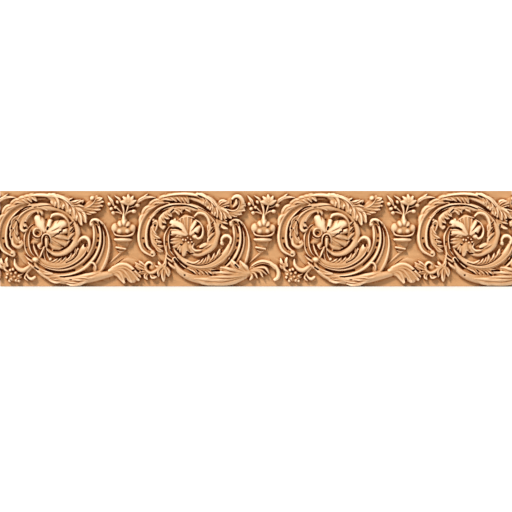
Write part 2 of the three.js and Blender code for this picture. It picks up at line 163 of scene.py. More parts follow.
class Relief:
    """A height field over the face of the board, in squares across and steps up.

    Forms are drawn round an origin that moves from scroll to scroll. A raised form only
    ever adds, so forms that cross keep the higher one, as a carver leaves them.
    """

    def __init__(self, left, right, low, high):
        self.left = left
        self.low = low
        self.columns = int(round((right - left) / CELL)) + 1
        self.rows = int(round((high - low) / CELL)) + 1
        self.height = np.zeros((self.rows, self.columns))
        self.ox = 0.0
        self.oz = 0.0

    def at(self, x, z):
        """Moves the origin that forms are drawn round."""
        self.ox = x
        self.oz = z

    def window(self, low, high):
        """The part of the field between two corners, with the place of each of its cells."""
        first = np.floor((np.array(low) + [self.ox - self.left, self.oz - self.low]) / CELL).astype(int)
        last = np.ceil((np.array(high) + [self.ox - self.left, self.oz - self.low]) / CELL).astype(int) + 1
        i0, j0 = np.maximum(first, 0)
        i1, j1 = np.minimum(last, [self.columns, self.rows])
        if i0 >= i1 or j0 >= j1:
            return None
        x = self.left + np.arange(i0, i1) * CELL - self.ox
        z = self.low + np.arange(j0, j1) * CELL - self.oz
        return (slice(j0, j1), slice(i0, i1)), x, z

    def along(self, points, widths):
        """For the cells round a curve: the share across it, from -1 to 1, and the share of the way."""
        line, share = smooth(points)
        reach = max(np.atleast_1d(widths)) / 2
        found = self.window(line.min(0) - reach, line.max(0) + reach)
        if found is None:
            return None
        cells, x, z = found
        gap = np.full((len(z), len(x)), FAR)
        where = np.zeros(gap.shape)
        side = np.ones(gap.shape)
        for a, b, from_share, to_share in zip(line[:-1], line[1:], share[:-1], share[1:]):
            step = b - a
            rows = slice(*np.searchsorted(z, [min(a[1], b[1]) - reach, max(a[1], b[1]) + reach]))
            cols = slice(*np.searchsorted(x, [min(a[0], b[0]) - reach, max(a[0], b[0]) + reach]))
            dx = x[cols][None, :] - a[0]
            dz = z[rows][:, None] - a[1]
            t = np.clip((dx * step[0] + dz * step[1]) / max(step @ step, TINY), 0, 1)
            distance = np.hypot(dx - t * step[0], dz - t * step[1])
            nearer = distance < gap[rows, cols]
            gap[rows, cols][nearer] = distance[nearer]
            where[rows, cols][nearer] = (from_share + (to_share - from_share) * t)[nearer]
            side[rows, cols][nearer] = np.where(step[0] * dz < step[1] * dx, -1, 1)[nearer]
        return cells, gap * side / np.maximum(spread(widths, where) / 2, TINY), where

    def form(self, points, widths, heights, section=roll):
        """A raised form that runs along a curve."""
        found = self.along(points, widths)
        if found is None:
            return
        cells, across, where = found
        top = spread(heights, where) * section(across)
        here = self.height[cells]
        self.height[cells] = np.where(np.abs(across) < 1, np.maximum(here, top), here)

    def slot(self, points, widths, floor=0.5):
        """A slot cut down to a floor, round at both ends."""
        found = self.along(points, widths)
        if found is None:
            return
        cells, across, where = found
        inward = np.clip((1 - np.abs(across)) * spread(widths, where) / 2 / SLOT_SIDE, 0, 1)
        here = self.height[cells]
        self.height[cells] = here + inward * (np.minimum(here, floor) - here)

    def eye(self, x, z, width, floor=0.5):
        """A drilled eye."""
        self.slot([(x, z), (x, z)], width, floor)

    def groove(self, points, widths, depth):
        """A line engraved into whatever is there, by a depth."""
        found = self.along(points, widths)
        if found is None:
            return
        cells, across, where = found
        cut = spread(depth, where) * np.clip(1 - across**2, 0, 1)
        self.height[cells] = np.maximum(self.height[cells] - cut, 0)

    def ball(self, x, z, radius, height, radius_z=None):
        """A rounded berry, bud or end of a curl."""
        radius_z = radius_z or radius
        found = self.window((x - radius, z - radius_z), (x + radius, z + radius_z))
        if found is None:
            return
        cells, xs, zs = found
        away = ((xs[None, :] - x) / radius) ** 2 + ((zs[:, None] - z) / radius_z) ** 2
        self.height[cells] = np.maximum(self.height[cells], height * np.sqrt(np.clip(1 - away, 0, 1)))

    def lobes(self, places, width, height, section=lobe, rise=0.14, vein=0.0):
        """The lobes of a leaf, each from its root over a bend to its tip, with its vein cut in last."""
        heights = [height * (1 - rise), height * (1 - rise / 3), height * 1.03, height * 0.92]
        widths = [width * 0.65, width, width, width * 0.85, width * 0.4]
        for place in places:
            self.form(place, widths, heights, section)
        if vein:
            for place in places:
                self.groove(place, [0.5, 1.1, 0.5], [vein * 0.5, vein, vein * 0.3])

    def fan(self, root, tip, width, height, ribs):
        """A broad ruffled petal: ribs that spread from the root to a scalloped rim."""
        root = np.array(root, float)
        axis = np.array(tip, float) - root
        across = np.array([-axis[1], axis[0]]) / np.linalg.norm(axis)
        middle = root + axis * 0.5
        self.form([root, middle, root + axis * 0.86], [width * 0.5, width * 0.86, width * 0.86],
                  [height * 0.84, height * 0.9, height * 0.84], petal)
        rib = width / ribs
        for k in range(ribs):
            share = (k + 0.5) / ribs - 0.5
            start = root + axis * 0.06 + across * share * width * 0.35
            bend = middle + across * share * width * 0.8
            end = root + axis * (1.02 - 0.9 * share**2) + across * share * width
            self.form([start, bend, end], [rib * 1.1, rib * 1.5, rib * 1.3],
                      [height * 0.9, height, height * 0.92], lobe)


# The ornament

FACE = Relief(-MIDDLE, MIDDLE, -SQUARES_HIGH / 2, SQUARES_HIGH / 2)
form, slot, eye, groove = FACE.form, FACE.slot, FACE.eye, FACE.groove
ball, lobes, fan = FACE.ball, FACE.lobes, FACE.fan


def frame_of_scroll():
    """What both scrolls have: hollow bands at the sides, the ring in the middle, the stem and the knot."""
    ball(-6, -1, 44, 1.7, 39)
    form(swirl(178, 322, [44, 42, 38, 35, 33.5, 34, 36, 38, 40]), [4, 12, 18, 20, 20, 20, 18, 14, 8], 2.4,
        slab)
    outermost = [(41.8, 11.6), (44.6, 6), (46.6, -2), (47, -10), (45.6, -18), (42.8, -26), (38.6, -34)]
    form(outermost, [2.4, 4.4, 6.6, 8, 9.4, 11, 12], [4, 4.8, 5, 5, 4.8, 4.6, 4], hollow)
    right = swirl(17, -128, [37.4, 38, 38.5, 38.9, 38.9, 38.9, 38.9, 38.8, 38.4, 37.2])
    form(right, [8, 9.6, 10.4, 10.4, 10.2, 9.8, 9.4, 9, 8, 6.4],
        [4.8, 5.4, 5.8, 5.8, 5.8, 5.6, 5.6, 5.6, 5.4, 5], hollow)
    form([(31, 11), (33.4, 13.8), (37.6, 14), (41.4, 11), (43.6, 6.4)], [3.2, 3.6, 3.4, 3, 2],
        [5.2, 5.8, 5.8, 5.6, 5.2])
    ball(32, 9.6, 2.6, 5.8)
    groove([(34.6, 13), (37.6, 11), (39.4, 8)], 1, 2)
    slot([(36.6, 8.4), (38, 5), (38.9, 1)], [1.3, 1.8, 1.5], 0.4)
    eye(38.8, -4.4, 2.2, 0.4)
    slot([(38.4, -8.8), (37.6, -11.6)], [2.4, 2.2], 0.4)
    slot([(40, 12), (43, 7.4), (45.4, 2), (46, -2)], [1.4, 1.8, 1.6, 1], 0.8)
    left = swirl(138, 203, [43, 47.6, 51.3, 54, 55.6, 56.4, 56.7, 55.8, 50.6])
    form(left, [8.6, 9.4, 10, 10.4, 10.8, 11, 11, 9.6, 6.4], [5, 5.2, 5.4, 5.6, 5.6, 5.6, 5.6, 5.4, 5],
        hollow)
    ball(-46.6, -18.8, 3.6, 5.8)
    eye(-47, -20.3, 1.5, 2)
    eye(-56, -4.3, 2.2)
    slot([(-55, -9.5), (-53.8, -12.5), (-51.3, -15.8)], [1.8, 1.9, 1.4])
    ring = swirl(137, -128, [40, 31.4, 26.6, 23.4, 21.4, 20, 19, 18.5, 18.3, 18, 18.2, 18.8, 19.7, 20.6,
        20.4, 19])
    form(ring, [8, 8, 7.6, 7, 6.4, 6, 6, 6.2, 6.6, 7, 7, 6.4, 5.6, 5, 4.4, 3], [5, 5.2, 5.2, 5.2, 5.2, 5.4,
        5.6, 5.6, 5.6, 5.6, 5.6, 5.6, 5.4, 5, 4.6, 4], slab)
    form(swirl(-12, -112, [15.5, 15.2, 15, 15.2, 16, 17.4, 17.6]), [5, 7, 8, 8, 7, 5, 3], 4.4, slab)
    groove(swirl(133, 30, [36.4, 30.6, 26, 23.2, 21.4, 20.4]), 0.9, 1.5)
    slot([(-28, 27.6), (-33.4, 26.4), (-38.6, 23.4), (-43.4, 18.8), (-47.6, 13), (-50, 6.6), (-51, 0)],
        [1, 1.6, 1.8, 1.8, 1.6, 1.3, 0.7], 0.3)
    stem = [(52, -39.5), (44, -41), (36, -42.6), (28, -44), (19, -45.2), (9, -45.6), (-1, -44.6),
        (-10, -42.2), (-18, -38), (-22.6, -33), (-24.5, -28)]
    form(stem, [6, 8, 9.4, 10.4, 10.6, 10.2, 9.4, 8.4, 7, 5.6, 4.4],
        [4.6, 5.6, 6.2, 6.6, 6.8, 6.6, 6, 5.6, 5.6, 5.4, 5])
    form([(-25.5, -23), (-29, -20), (-31.5, -15), (-32.6, -9), (-32.6, -3), (-31, 2.5), (-28.2, 7),
        (-24, 10.5)], [4.4, 6, 6.8, 6.8, 6.4, 5.4, 4, 1], [5, 5.2, 5.2, 5.2, 5, 4.8, 4.4, 4], hollow)
    form([(-26, -9), (-25, -15), (-22.5, -20), (-19, -24)], [1.6, 3, 3.4, 2.2], [4, 4.6, 5, 5])
    ball(-23.5, -25.5, 5, 7.6, 3.6)
    form([(-35, -20.6), (-31, -24.6), (-27, -27.4)], [0.8, 3.4, 4.4], [4.4, 6, 6.4], lobe)
    form([(-30.6, -28.6), (-28, -31.5), (-24, -34)], [2.8, 4, 3.4], [5.4, 6, 5.4])


def ring_ticks():
    """The acanthus that wraps the ring's right side."""
    lobes([((9, 4), (11, 9), (14.6, 11.8)), ((9.6, -2), (11.4, 3.4), (15, 7)),
        ((9, -9), (11.6, -3.4), (15.4, 1))], 5.6, 6, turned_blade)
    for start, end in (((14.4, 6.6), (11.2, 2.4)), ((14.2, -1.8), (10, -6.2)), ((14.2, 12), (11.4, 8.4))):
        groove([start, end], 1.1, 2.4)


def top_leaf_a():
    """The long acanthus that lies over the top: left half, gap, and the heavy turned crest on its right."""
    lobes([((-60, 9.5), (-58.2, 16.5), (-53, 20.2))], 5, 5.6, roll)
    lobes([((-57, 17.5), (-52.4, 26), (-44, 28.6)), ((-49.5, 27), (-43.4, 33), (-35.4, 31.8)),
        ((-42.6, 32), (-36.4, 35.4), (-31, 31.4)), ((-37.6, 34.6), (-31.4, 36.6), (-27.6, 32.6)),
        ((-33, 36), (-27, 37.6), (-23, 33.4))], 6.4, 6.6, blade, 0.5, 0.7)
    form([(-30, 37.4), (-24, 38.7), (-17, 38.9), (-10, 38), (-5, 36.4)], [2, 3.6, 3.8, 3.8, 3],
        [5, 6.4, 6.8, 7, 7])
    form([(-25, 34.6), (-20.5, 35.4), (-14, 35.6)], [3, 4, 2], [3, 2.6, 2], slab)
    slot([(-19.4, 32.8), (-13, 32.2), (-5.6, 31)], [2.4, 3, 2.4], 0.2)
    crest = [(-8, 36.8), (-1, 35.4), (6, 32.6), (11.6, 28), (16, 22), (19, 16)]
    form(crest, [4, 7, 9, 10, 9, 5], [6, 6.4, 6.6, 6.6, 6.2, 5.4], petal)
    for places in ((((-4, 34.6), (-5, 32), (-4.6, 28.6)), ((3.6, 31.6), (2.8, 28.6), (3.2, 26)),
            ((10, 27), (9.6, 24), (10.4, 21)), ((16.4, 21), (16, 17.6), (16.6, 14.4))),
            (((-10, 38), (-4, 35), (-0.6, 26.8)), ((-2, 37), (5.4, 31.4), (8.6, 23.4)),
            ((5, 34.4), (11.6, 27), (14.8, 16.6)), ((11.6, 29.6), (18.4, 20.6), (21.8, 10)),
            ((14, 27), (22, 20.4), (26, 12.4)))):
        lobes(places, 9, 8, turned_blade, 0.12, 0.8)
    form([(-7, 37.6), (0, 36.6), (6, 34.2), (11, 30), (14.6, 25)], [1.6, 2.4, 2.6, 2.2, 1.2],
        [7.2, 8, 8.4, 8.4, 7.6])
    lobes([((7, 32.4), (10, 33.6), (12.8, 35.6))], 3.8, 7)
    lobes([((8.6, 31), (15, 30.8), (20.4, 33.2)), ((10.6, 29), (17.6, 29.4), (23.6, 33)),
        ((12.6, 27), (19, 27), (24.6, 26.4))], 6, 7.2, turned_blade, 0.1, 1)
    eye(11.5, 33.4, 1.9, 1.5)
    slot([(21.3, 30.4), (22, 31.2)], [1.8, 1.2], 1.5)


def branch_leaf_a():
    """The smaller leaf that springs to the right from the crest, cupped above and lobed below."""
    form([(22, 26), (29, 28.6), (34.6, 33), (37, 37)], [4, 8, 8, 4], [3.4, 3.2, 3.2, 2.6], slab)
    form([(16, 23), (22, 23.2), (28, 24.6), (33.6, 27.6), (38, 31.6), (40, 34)], [5, 7.4, 8.4, 8.6, 8, 4.6],
        [6, 5.6, 5.4, 5.2, 5, 4.6], petal)
    lobes([((17.6, 22.8), (22.6, 21), (26, 18.6)), ((20, 23), (26.6, 21.8), (31, 20.2)),
        ((24, 24.4), (30.4, 23.2), (36, 22)), ((28, 26.6), (34.6, 25.8), (40.4, 24.8)),
        ((31, 29), (37, 28.8), (42.6, 28.4)), ((34, 31.6), (38.6, 32), (43.4, 32.4)),
        ((35, 33), (38.6, 34.4), (42, 35.6))], 5.6, 6, blade, 0.2, 0.9)
    form([(24, 25.6), (30, 27.6), (34, 31), (36.6, 35)], [1.4, 2, 2.2, 1.6], [5.8, 6, 6, 5.4])
    ball(33, 35.4, 3, 5.6)
    eye(41, 27, 1.2, 1)
    eye(42, 30.6, 1.2, 1)


def hanging_leaves_a():
    """Two leaves that hang inside the scroll's left: the long outer one and a small curled one."""
    form([(-20, 25), (-29, 23), (-36.5, 19), (-42, 12.4), (-44, 5), (-44, -2), (-42, -8)],
        [4, 6, 7, 7.6, 7.6, 7.6, 6.6], [4, 4.2, 4.4, 4.4, 4.4, 4.6, 5], slab)
    form([(-24, 26), (-32, 23.6), (-38, 19.2), (-41.4, 14)], [1.8, 2.6, 2.8, 1.6], [5.2, 5.8, 5.8, 5])
    lobes([((-41, 17.6), (-45.6, 13.6), (-47.4, 8)), ((-43.6, 13), (-47.4, 7), (-47.6, 0)),
        ((-44, 6), (-47.6, 0), (-47, -7.4)), ((-41.6, 12), (-43.4, 5), (-41.4, -1)),
        ((-43.4, 4), (-42.4, -3), (-38.6, -8))], 5, 6, blade, 0.2, 0.8)
    ball(-45.4, 5.6, 2.2, 6)
    form([(-46.4, -4), (-45.6, -10), (-41, -12.8), (-36.8, -10), (-37.4, -6.6)], [4, 5, 5.2, 4.6, 2.4],
        [5, 5.8, 6, 6, 5])
    ball(-38.8, -8.6, 2.8, 6.2)
    for x, z in ((-43.2, 13.6), (-47.6, 5.6), (-47.6, -3)):
        eye(x, z, 1.7, 0.8)
    slot([(-41.6, 12.6), (-40.4, 8)], [1, 1.8], 0.8)
    slot([(-40.6, -0.4), (-41.6, -3)], [1.8, 1], 0.8)
    form([(-21, 23.6), (-27, 22.4), (-31.4, 19), (-35, 14.4), (-37, 9.6), (-37.6, 5.4), (-35, 3.2),
        (-32.4, 4.4)], [3, 5, 6.6, 7, 6, 4.6, 3.6, 2.6], [4.6, 5, 5.2, 5.2, 5.2, 5.6, 5.8, 5.4], petal)
    form([(-22, 23), (-28, 21), (-32, 16.6), (-33.4, 12)], [1.2, 2, 2, 1.2], [5, 5.8, 6, 5.2])
    lobes([((-36, 14), (-34.4, 9), (-31.8, 6.6))], 3.8, 6, blade)
    eye(-34.1, 11.4, 1.8, 1)
    eye(-33.2, 6.8, 1.5, 1)
    form([(-22, 27), (-16, 25.4), (-12, 24)], [2, 3, 2], [5, 5.4, 5])
    lobes([((-24, 25), (-21, 22.6), (-20.6, 19)), ((-20, 24.6), (-17.6, 22), (-17.2, 18.4))], 3.8, 5.6,
        blade)


def curl(points):
    """The leaf that curls over inside the ring's top."""
    form(points, [2, 3.6, 4, 4.2, 4.2, 3.8, 2.4], [5.8, 6.6, 6.8, 6.6, 6.4, 5.8, 5])


def bottom_leaf_a():
    """The long leaf below the ring, its serrated edge up and its tip curled over on the right."""
    spine = [(-19.5, -24), (-14.5, -28), (-8, -30.4), (0, -30.8), (8, -29), (16, -24.6), (22.2, -18.8),
        (26, -11.8)]
    form(spine, [4, 6, 7, 7.6, 8.4, 9, 8.8, 6], [5, 5.6, 5.8, 6, 6, 6, 6, 5.6], petal)
    outer = [(-20.5, -26), (-15.5, -30.6), (-8, -33.2), (0, -33.8), (9, -31.8), (17.6, -27.2),
        (24.6, -20.8), (28.6, -13)]
    form(outer, [1.6, 2.2, 2.4, 2.6, 2.6, 2.8, 2.6, 2], [5.4, 6, 6.2, 6.4, 6.4, 6.4, 6.4, 6.2])
    form([(-7, -28), (2, -28), (10, -25.6), (16, -21), (18.6, -15.6)], [2, 4, 5, 5, 3], [5, 5.6, 6, 6, 5.6],
        petal)
    lobes([((-10, -29.6), (-5, -28), (-1.6, -25)), ((-4, -30), (0, -27.6), (2.4, -24)),
        ((1, -30), (5.4, -26.4), (6.8, -23.2)), ((6, -28), (11.4, -24), (12.4, -19.6)),
        ((12, -25), (16.4, -20.6), (16.4, -15)), ((15, -22), (18.4, -18), (18.6, -14.4))], 4.4, 6.4,
        turned_blade, 0.14, 0.8)
    groove([(19.4, -16), (17.6, -21), (13, -25.6), (7, -28.6)], [0.8, 1.3, 1.3, 0.8], 2.6)
    form([(28.6, -17), (30.4, -11), (29.4, -6), (25.6, -3.4), (21.6, -4.4), (18.6, -8)],
        [4.4, 4.4, 4.4, 4.2, 3.6, 2], [6, 6.6, 7, 7, 6.8, 5.8])
    slot([(22, -7.4), (25.4, -8.6), (26, -12)], [2.6, 4.4, 2.6], 0.2)
    eye(14.8, -18.4, 1.6, 0.8)
    slot([(19.6, -10), (18.8, -13)], [1.8, 1.2], 0.4)


def flower_a():
    """A wide open flower: bulging ruffled petals above, a bud under a hood, and ribbed petals below."""
    ball(-10, 2, 15, 6, 12)
    form([(-18, 2), (-25, 4.6), (-29, 4)], [6, 10, 5], [5, 5, 3.4])
    form([(-17, -4), (-23, -6.4), (-27.4, -8.4)], [5, 9, 5], [4, 4.8, 3.6])
    form([(-16, -7), (-20.4, -12.4), (-22, -16)], [4, 7, 4], [4.2, 5, 4])
    form([(-10.4, -8), (-5, -12), (-0.6, -14)], [5, 9.6, 6.6], [4.8, 5.2, 4.4])
    form([(-9, -4), (-1.4, -7.4), (5.6, -9.4)], [8, 12, 8], [6, 6, 5])
    form([(-9, -1), (0, -2), (6.6, -4.6)], [7, 10.4, 8], [6.8, 6.8, 5.6])
    form([(-11, 2), (-2, 7), (4.6, 10)], [7, 14, 10], [7.4, 8.4, 7.8])
    form([(-9, 1), (-1, 3), (6, 3.6)], [6, 11, 8], [7.4, 8.2, 7.4])
    form([(-12.6, 4), (-10, 9), (-9, 12.6)], [5, 8.4, 6], [7.4, 8, 7.4])
    form([(-14.6, 3), (-18, 9.4), (-21, 15.4)], [7, 13.4, 9], [7.4, 8.4, 8])
    for root, tip in (((0.6, 15), (-2, 9.6)), ((9, 6.6), (3, 4.6)), ((-13.4, 14.4), (-14, 9)),
            ((-18.4, 18), (-17.4, 12.6)), ((8.4, -6.6), (2, -5)), ((4, -12.6), (-1, -9.4))):
        groove([root, tip], [1.5, 0.7], [2, 0.2])
    for rib in ([(-8, -1.8), (-2, -4.6), (4, -6.6)], [(-8, -4.6), (-3, -8.2), (2.6, -10.8)], [(-9.4, -8),
            (-6, -10.8), (-2, -12.8)], [(-7, 2.8), (-1, 5.6), (2, 8)]):
        groove(rib, [0.8, 1.5, 0.7], [0.4, 0.8, 0.2])
    groove([(-6.6, -3), (-4, -1.6), (-1.6, 0.2), (-0.4, 0.2), (1.2, 2.4), (3, 2.4), (3.4, 4.8), (5.6, 5.6)],
        [0.9, 1.1, 1.5, 1.1, 1.6, 1.2, 1.6, 1.6], [1.2, 1.8, 2.6, 2, 3, 2.2, 2.6, 2.4])
    eye(-1.6, 0.3, 1.1, 3)
    eye(1.3, 2.5, 1.3, 2.6)
    form([(-17.2, -0.6), (-17.6, 3.4), (-20.4, 5.8), (-24, 4.8), (-25.4, 1.2), (-23.6, -2), (-20, -2.6),
        (-18, -0.6)], [2.8, 3, 3.2, 3.2, 3, 2.8, 2.4, 2], [6.6, 7, 7, 6.8, 6.4, 6.2, 6.2, 6])
    form([(-26.4, -3), (-23, -5.2), (-19, -4.6)], [1.6, 2, 1.6], [5.2, 5.8, 5.6])
    slot([(-22.2, 1.9), (-21, 1.1)], [1.8, 2.1], 2)
    form([(-17.2, -9), (-16.8, -3.6), (-14.6, -0.2), (-10.6, -0.2), (-8.4, -3.6), (-8, -9)],
        [2, 2.4, 2.8, 2.8, 2.4, 2], [5.6, 7, 7.6, 7.6, 7, 5.6])
    slot([(-15.8, -9), (-15.6, -4.4), (-12.6, -1.2), (-9.6, -4.4), (-9.4, -9)], [1, 1.3, 1.5, 1.3, 1], 1.6)
    form([(-12.6, -2.6), (-12.6, -6), (-12.6, -10), (-13, -13)], [4.6, 5.6, 4.6, 3], [6.8, 6.8, 6, 5.4])
    eye(-12.5, -3.4, 1.3, 4.4)
    slot([(-11.7, 4.6), (-11, 6.6)], [1.6, 2], 1.6)
    slot([(-23, -11.6), (-21.6, -15), (-19, -18.6)], [1.6, 3, 1.4], 0.2)
    form([(-21.4, -13), (-19, -14.8), (-16, -13.6)], [1.2, 1.8, 1.6], 4.6)
    form([(-15, -13), (-17.4, -19), (-19.6, -24)], [2.4, 2.8, 3], [5.8, 6, 6])
    form([(-25.4, -12), (-23.4, -18), (-19.8, -24)], [2, 2.4, 2.8], [5, 5.4, 5.8])
    form([(-13.6, -13), (-13.8, -19), (-12, -25), (-9, -27)], [2.4, 4.6, 6, 4.4], [5.4, 5.6, 5.6, 5],
        hollow)
    form([(-13, -13), (-11.4, -16.4), (-9.4, -18.6)], [1.6, 2.2, 1.6], [5.6, 5.8, 5.2])
    ball(-9, -25.4, 2.6, 6.2)


def sprig_a():
    """A berry cluster with a curved leaf over it."""
    form([(-44.8, -25), (-44.2, -30.6), (-41, -35), (-36, -36.4), (-31.6, -34), (-28, -30.6)],
        [1.4, 3.8, 5, 5.4, 5, 4], [4, 4.8, 5.4, 5.6, 5.6, 5.4])
    form([(-27.5, -33), (-31.5, -37), (-34, -41.5)], [3.4, 3.4, 2], [4.8, 4.6, 3.8])
    form([(-33, -39), (-31, -43.4), (-27.6, -44.8), (-24.6, -43)], [2.4, 3, 3.4, 2.6], [4, 4.6, 4.8, 4.2])
    lobes([((-33, -40), (-34.4, -43.6), (-31.4, -46.6))], 3.2, 4.4)
    lobes([((-52, -32), (-53.6, -28), (-52, -23.4)), ((-53, -32), (-57, -29.4), (-58.4, -24.6)),
        ((-54, -33), (-57.6, -33.4), (-59, -31))], 4, 4.8, blade)
    eye(-55.4, -28.6, 1.3, 1)
    form([(-55, -30), (-54.6, -35), (-50, -38.6)], [3, 3, 2.6], 4.2)
    form([(-51, -39), (-46, -43), (-40, -42)], [7, 9, 6], 3.4, slab)
    for x, z, radius in ((-46, -35.5, 2.2), (-49, -36.4, 2), (-51.5, -40.2, 2.1), (-48, -39.6, 2.2),
            (-43.6, -38.8, 2.4), (-52.4, -43.2, 1.8), (-44.8, -42.6, 2.2), (-47.8, -44.8, 2.1),
            (-43.2, -46, 2), (-40.6, -46.6, 1.8), (-40.4, -42, 2.2), (-49.8, -46.6, 1.7)):
        ball(x, z, radius, 5.2)
    for start, end in (((-43, -45.4), (-38, -43)), ((-40.5, -41.5), (-36, -39.5)),
            ((-50, -45), (-46, -43))):
        form([start, end], [2.2, 1.6], [4.4, 3.8])


def stem_leaves_a():
    """The acanthus round the stem along the bottom: one sheath from each end, tips to the middle."""
    lobes([((-24, -33), (-16, -37.6), (-7, -39.4)), ((-21, -36), (-11, -41.4), (-1, -41.8)),
        ((-17, -39.4), (-7, -43.6), (3, -44)), ((-12, -42.6), (-5, -46), (1, -47.4))], 6.6, 7, blade, 0.3,
        0.8)
    lobes([((40, -38.8), (31, -42), (20, -42.2)), ((37, -41), (24, -44.6), (12, -43.8)),
        ((32, -44), (19, -47.2), (6, -46.4)), ((26, -46.6), (16, -49.2), (8, -49.2))], 7, 7.8, turned_blade,
        0.26, 0.8)
    groove([(31, -33), (26, -37), (20, -40), (14, -41.5), (7, -42.4), (1, -42.6)],
        [1.2, 1.3, 1.3, 1.3, 1.2, 0.8], 4)
    slot([(3, -43), (5.6, -43.2)], [0.6, 0.8], 3.6)
    slot([(10.4, -45.4), (12.6, -45.6)], [0.6, 0.8], 3.6)
    slot([(-24.4, -33.4), (-21, -35.6)], [1.3, 1.5], 1)
    form([(28.6, -31), (30.6, -28.8), (33.8, -28.8), (36.2, -32), (36.4, -36)], [2, 3, 3.2, 3, 1.6],
        [5.6, 6.4, 6.4, 6, 5])
    slot([(32.6, -32.6), (33.4, -36.4)], [2.4, 2.6], 1.8)


def right_leaf_a():
    """The bright leaf that the stem comes out of, on the right, with a low ridge behind it."""
    form([(53, -34), (60, -30), (67, -28), (76, -30), (86, -33)], [2, 7, 10, 9, 3], [1, 1.6, 1.6, 1.1, 0.2])
    groove([(52, -34), (58, -29), (64, -24.6), (70, -22), (76, -21.6), (81, -23.4)],
        [0.9, 1.3, 1.3, 1.3, 1.1, 0.7], 1.6)
    form([(50, -37), (56, -36), (63, -37), (69, -39.6)], [4, 6.6, 9, 8], [4.8, 5, 5, 4.4], petal)
    form([(53, -36.6), (61, -37.6), (68, -41.4), (73, -44.6)], [6, 9.6, 12, 9], [5, 5.6, 5.6, 5], petal)
    lobes([((51, -37), (59, -39.4), (64.4, -48)), ((52, -36.4), (62.4, -37.4), (71.6, -47.4)),
        ((53, -35.4), (66, -35.6), (78.6, -45.6)), ((54, -34.4), (66, -32.6), (80.4, -42.6))], 8, 6.6,
        turned_blade, 0.3, 0.6)
    slot([(66.4, -44), (67, -47)], [0.9, 1.6], 0.6)
    slot([(73.2, -36.4), (74.6, -36)], [1.2, 1.6], 0.4)


def slots_a():
    """The slots that part the bands of the first scroll."""
    slot([(36.4, -15), (34, -20), (29, -26), (24, -31)], [1.2, 1.8, 2.2, 1.6], 0.3)
    slot([(-13, -35.5), (-6, -37.4), (3, -38), (15, -36)], [2, 2.5, 2.5, 2.2], 0.3)
    slot([(-5.5, -16.5), (0, -16.4), (6, -13.6), (10, -10), (12.4, -6.4)], [1.8, 2.2, 2.4, 2.4, 2.4], 0.3)
    eye(-32.7, -13.5, 1.6, 0.8)


def urn():
    """An urn with a petalled bowl on a stepped cup, its foot lost in the leaves below."""
    form([(-0.5, -16.4), (-7, -22.6), (-14, -29)], [3.4, 2.2, 1.4], [2, 1.4, 0.8])
    form([(-0.5, -7), (-0.8, -10.5), (-1.6, -14)], [14, 12, 8.6], [3.4, 3, 2.6])
    form([(-7, -13.2), (-2.4, -14), (2.4, -14.9)], [2, 2.4, 2], [4.6, 5, 4.6])
    form([(-5.6, -16.2), (-2.4, -17.6), (1, -16.4)], [1.4, 2, 1.4], [2.6, 2.8, 2.6])
    ball(-0.2, -5.4, 9.6, 7.6, 2.7)
    form([(-4, -2.4), (4.6, -2.4)], 3, 3)
    for bulge in ((0.6, 4, 11.4, 6.2, 6.8), (-7.4, 5.8, 4.8, 6.8, 5.4), (8.8, 5.2, 4.6, 6.4, 4.8),
            (-3.2, 3, 4.8, 7.4, 4.8), (4.4, 3, 4.6, 7.2, 4.4), (-2.6, 9.4, 3.8, 7.2, 4.6),
            (4.4, 8.8, 3.6, 7, 4.2), (1, 11.4, 3.6, 7.8, 5.4)):
        ball(*bulge)
    form([(-10, 3.4), (-7.4, -0.6), (-2, -2), (4, -2), (9, -0.2), (11.6, 3.4)], [1.4, 2.6, 3, 3, 2.6, 1.4],
        [4.6, 6.4, 7, 7, 6.4, 4.6])
    form([(0.8, 13), (0.8, 17), (0.8, 21.6)], [4.8, 3.8, 2.6], [7.2, 6.4, 5])
    slot([(4.2, 6.6), (5.4, 7.4)], [1.2, 1.2], 3.4)
    slot([(-6.4, 9.6), (-5.8, 11)], [0.9, 1.1], 3.4)


def spray():
    """The leaves, blossom and buds that stand in the urn."""
    form([(1, 19), (0.2, 27), (-3, 34), (-8.6, 38.2)], [2.2, 3, 3.2, 0.8], [5, 5.6, 5.6, 4.6], veined)
    form([(-9.4, 28.6), (-11.4, 33), (-15.4, 38.4)], [2.6, 4.2, 0.8], [4.8, 5.4, 4], veined)
    form([(-1, 21), (-6, 25.6), (-9.5, 29)], 1.9, 4.4)
    form([(0, 19.6), (-5, 21.8), (-9, 22)], 1.8, 4.2)
    for x, z, radius in ((-5.4, 32, 2.5), (-7.6, 26.6, 2.3), (-9.8, 21.4, 2.3), (-13.4, 30, 2.5),
            (-11.4, 25.4, 2.5)):
        ball(x, z, radius, 5.6)
    form([(2, 19), (4, 24), (5.4, 29)], [2.2, 2.4, 3], [4.8, 5, 5.4])
    lobes([((5.4, 30), polar(start, 3) + [5.4, 31], polar(start + 8,
        7.6) + [5.4, 31]) for start in (8, 46, 84, 124, 164)], 6.2, 6.6, petal)
    ball(5.6, 32.2, 2.2, 6.8)
    eye(8.6, 28.2, 1.5, 0.8)
    ball(14, 29, 3, 5.8, 2.4)
    form([(6, 26), (10, 27.4), (13, 28.8)], [1.6, 1.8, 2], [4.4, 4.6, 4.8])
    form([(13, 30), (17, 34), (23, 36.8), (32.4, 36.4)], [2.6, 3.8, 3.6, 0.8], [4.8, 5.4, 5, 4], veined)
    lobes([((17.5, 34.5), (21, 37), (24.4, 40))], 2.8, 5)
    form([(2, 19.6), (6, 22.4), (9, 23)], [1.6, 2, 2], [4.4, 4.8, 5])
    ball(10.6, 22.8, 2.8, 6, 2.2)


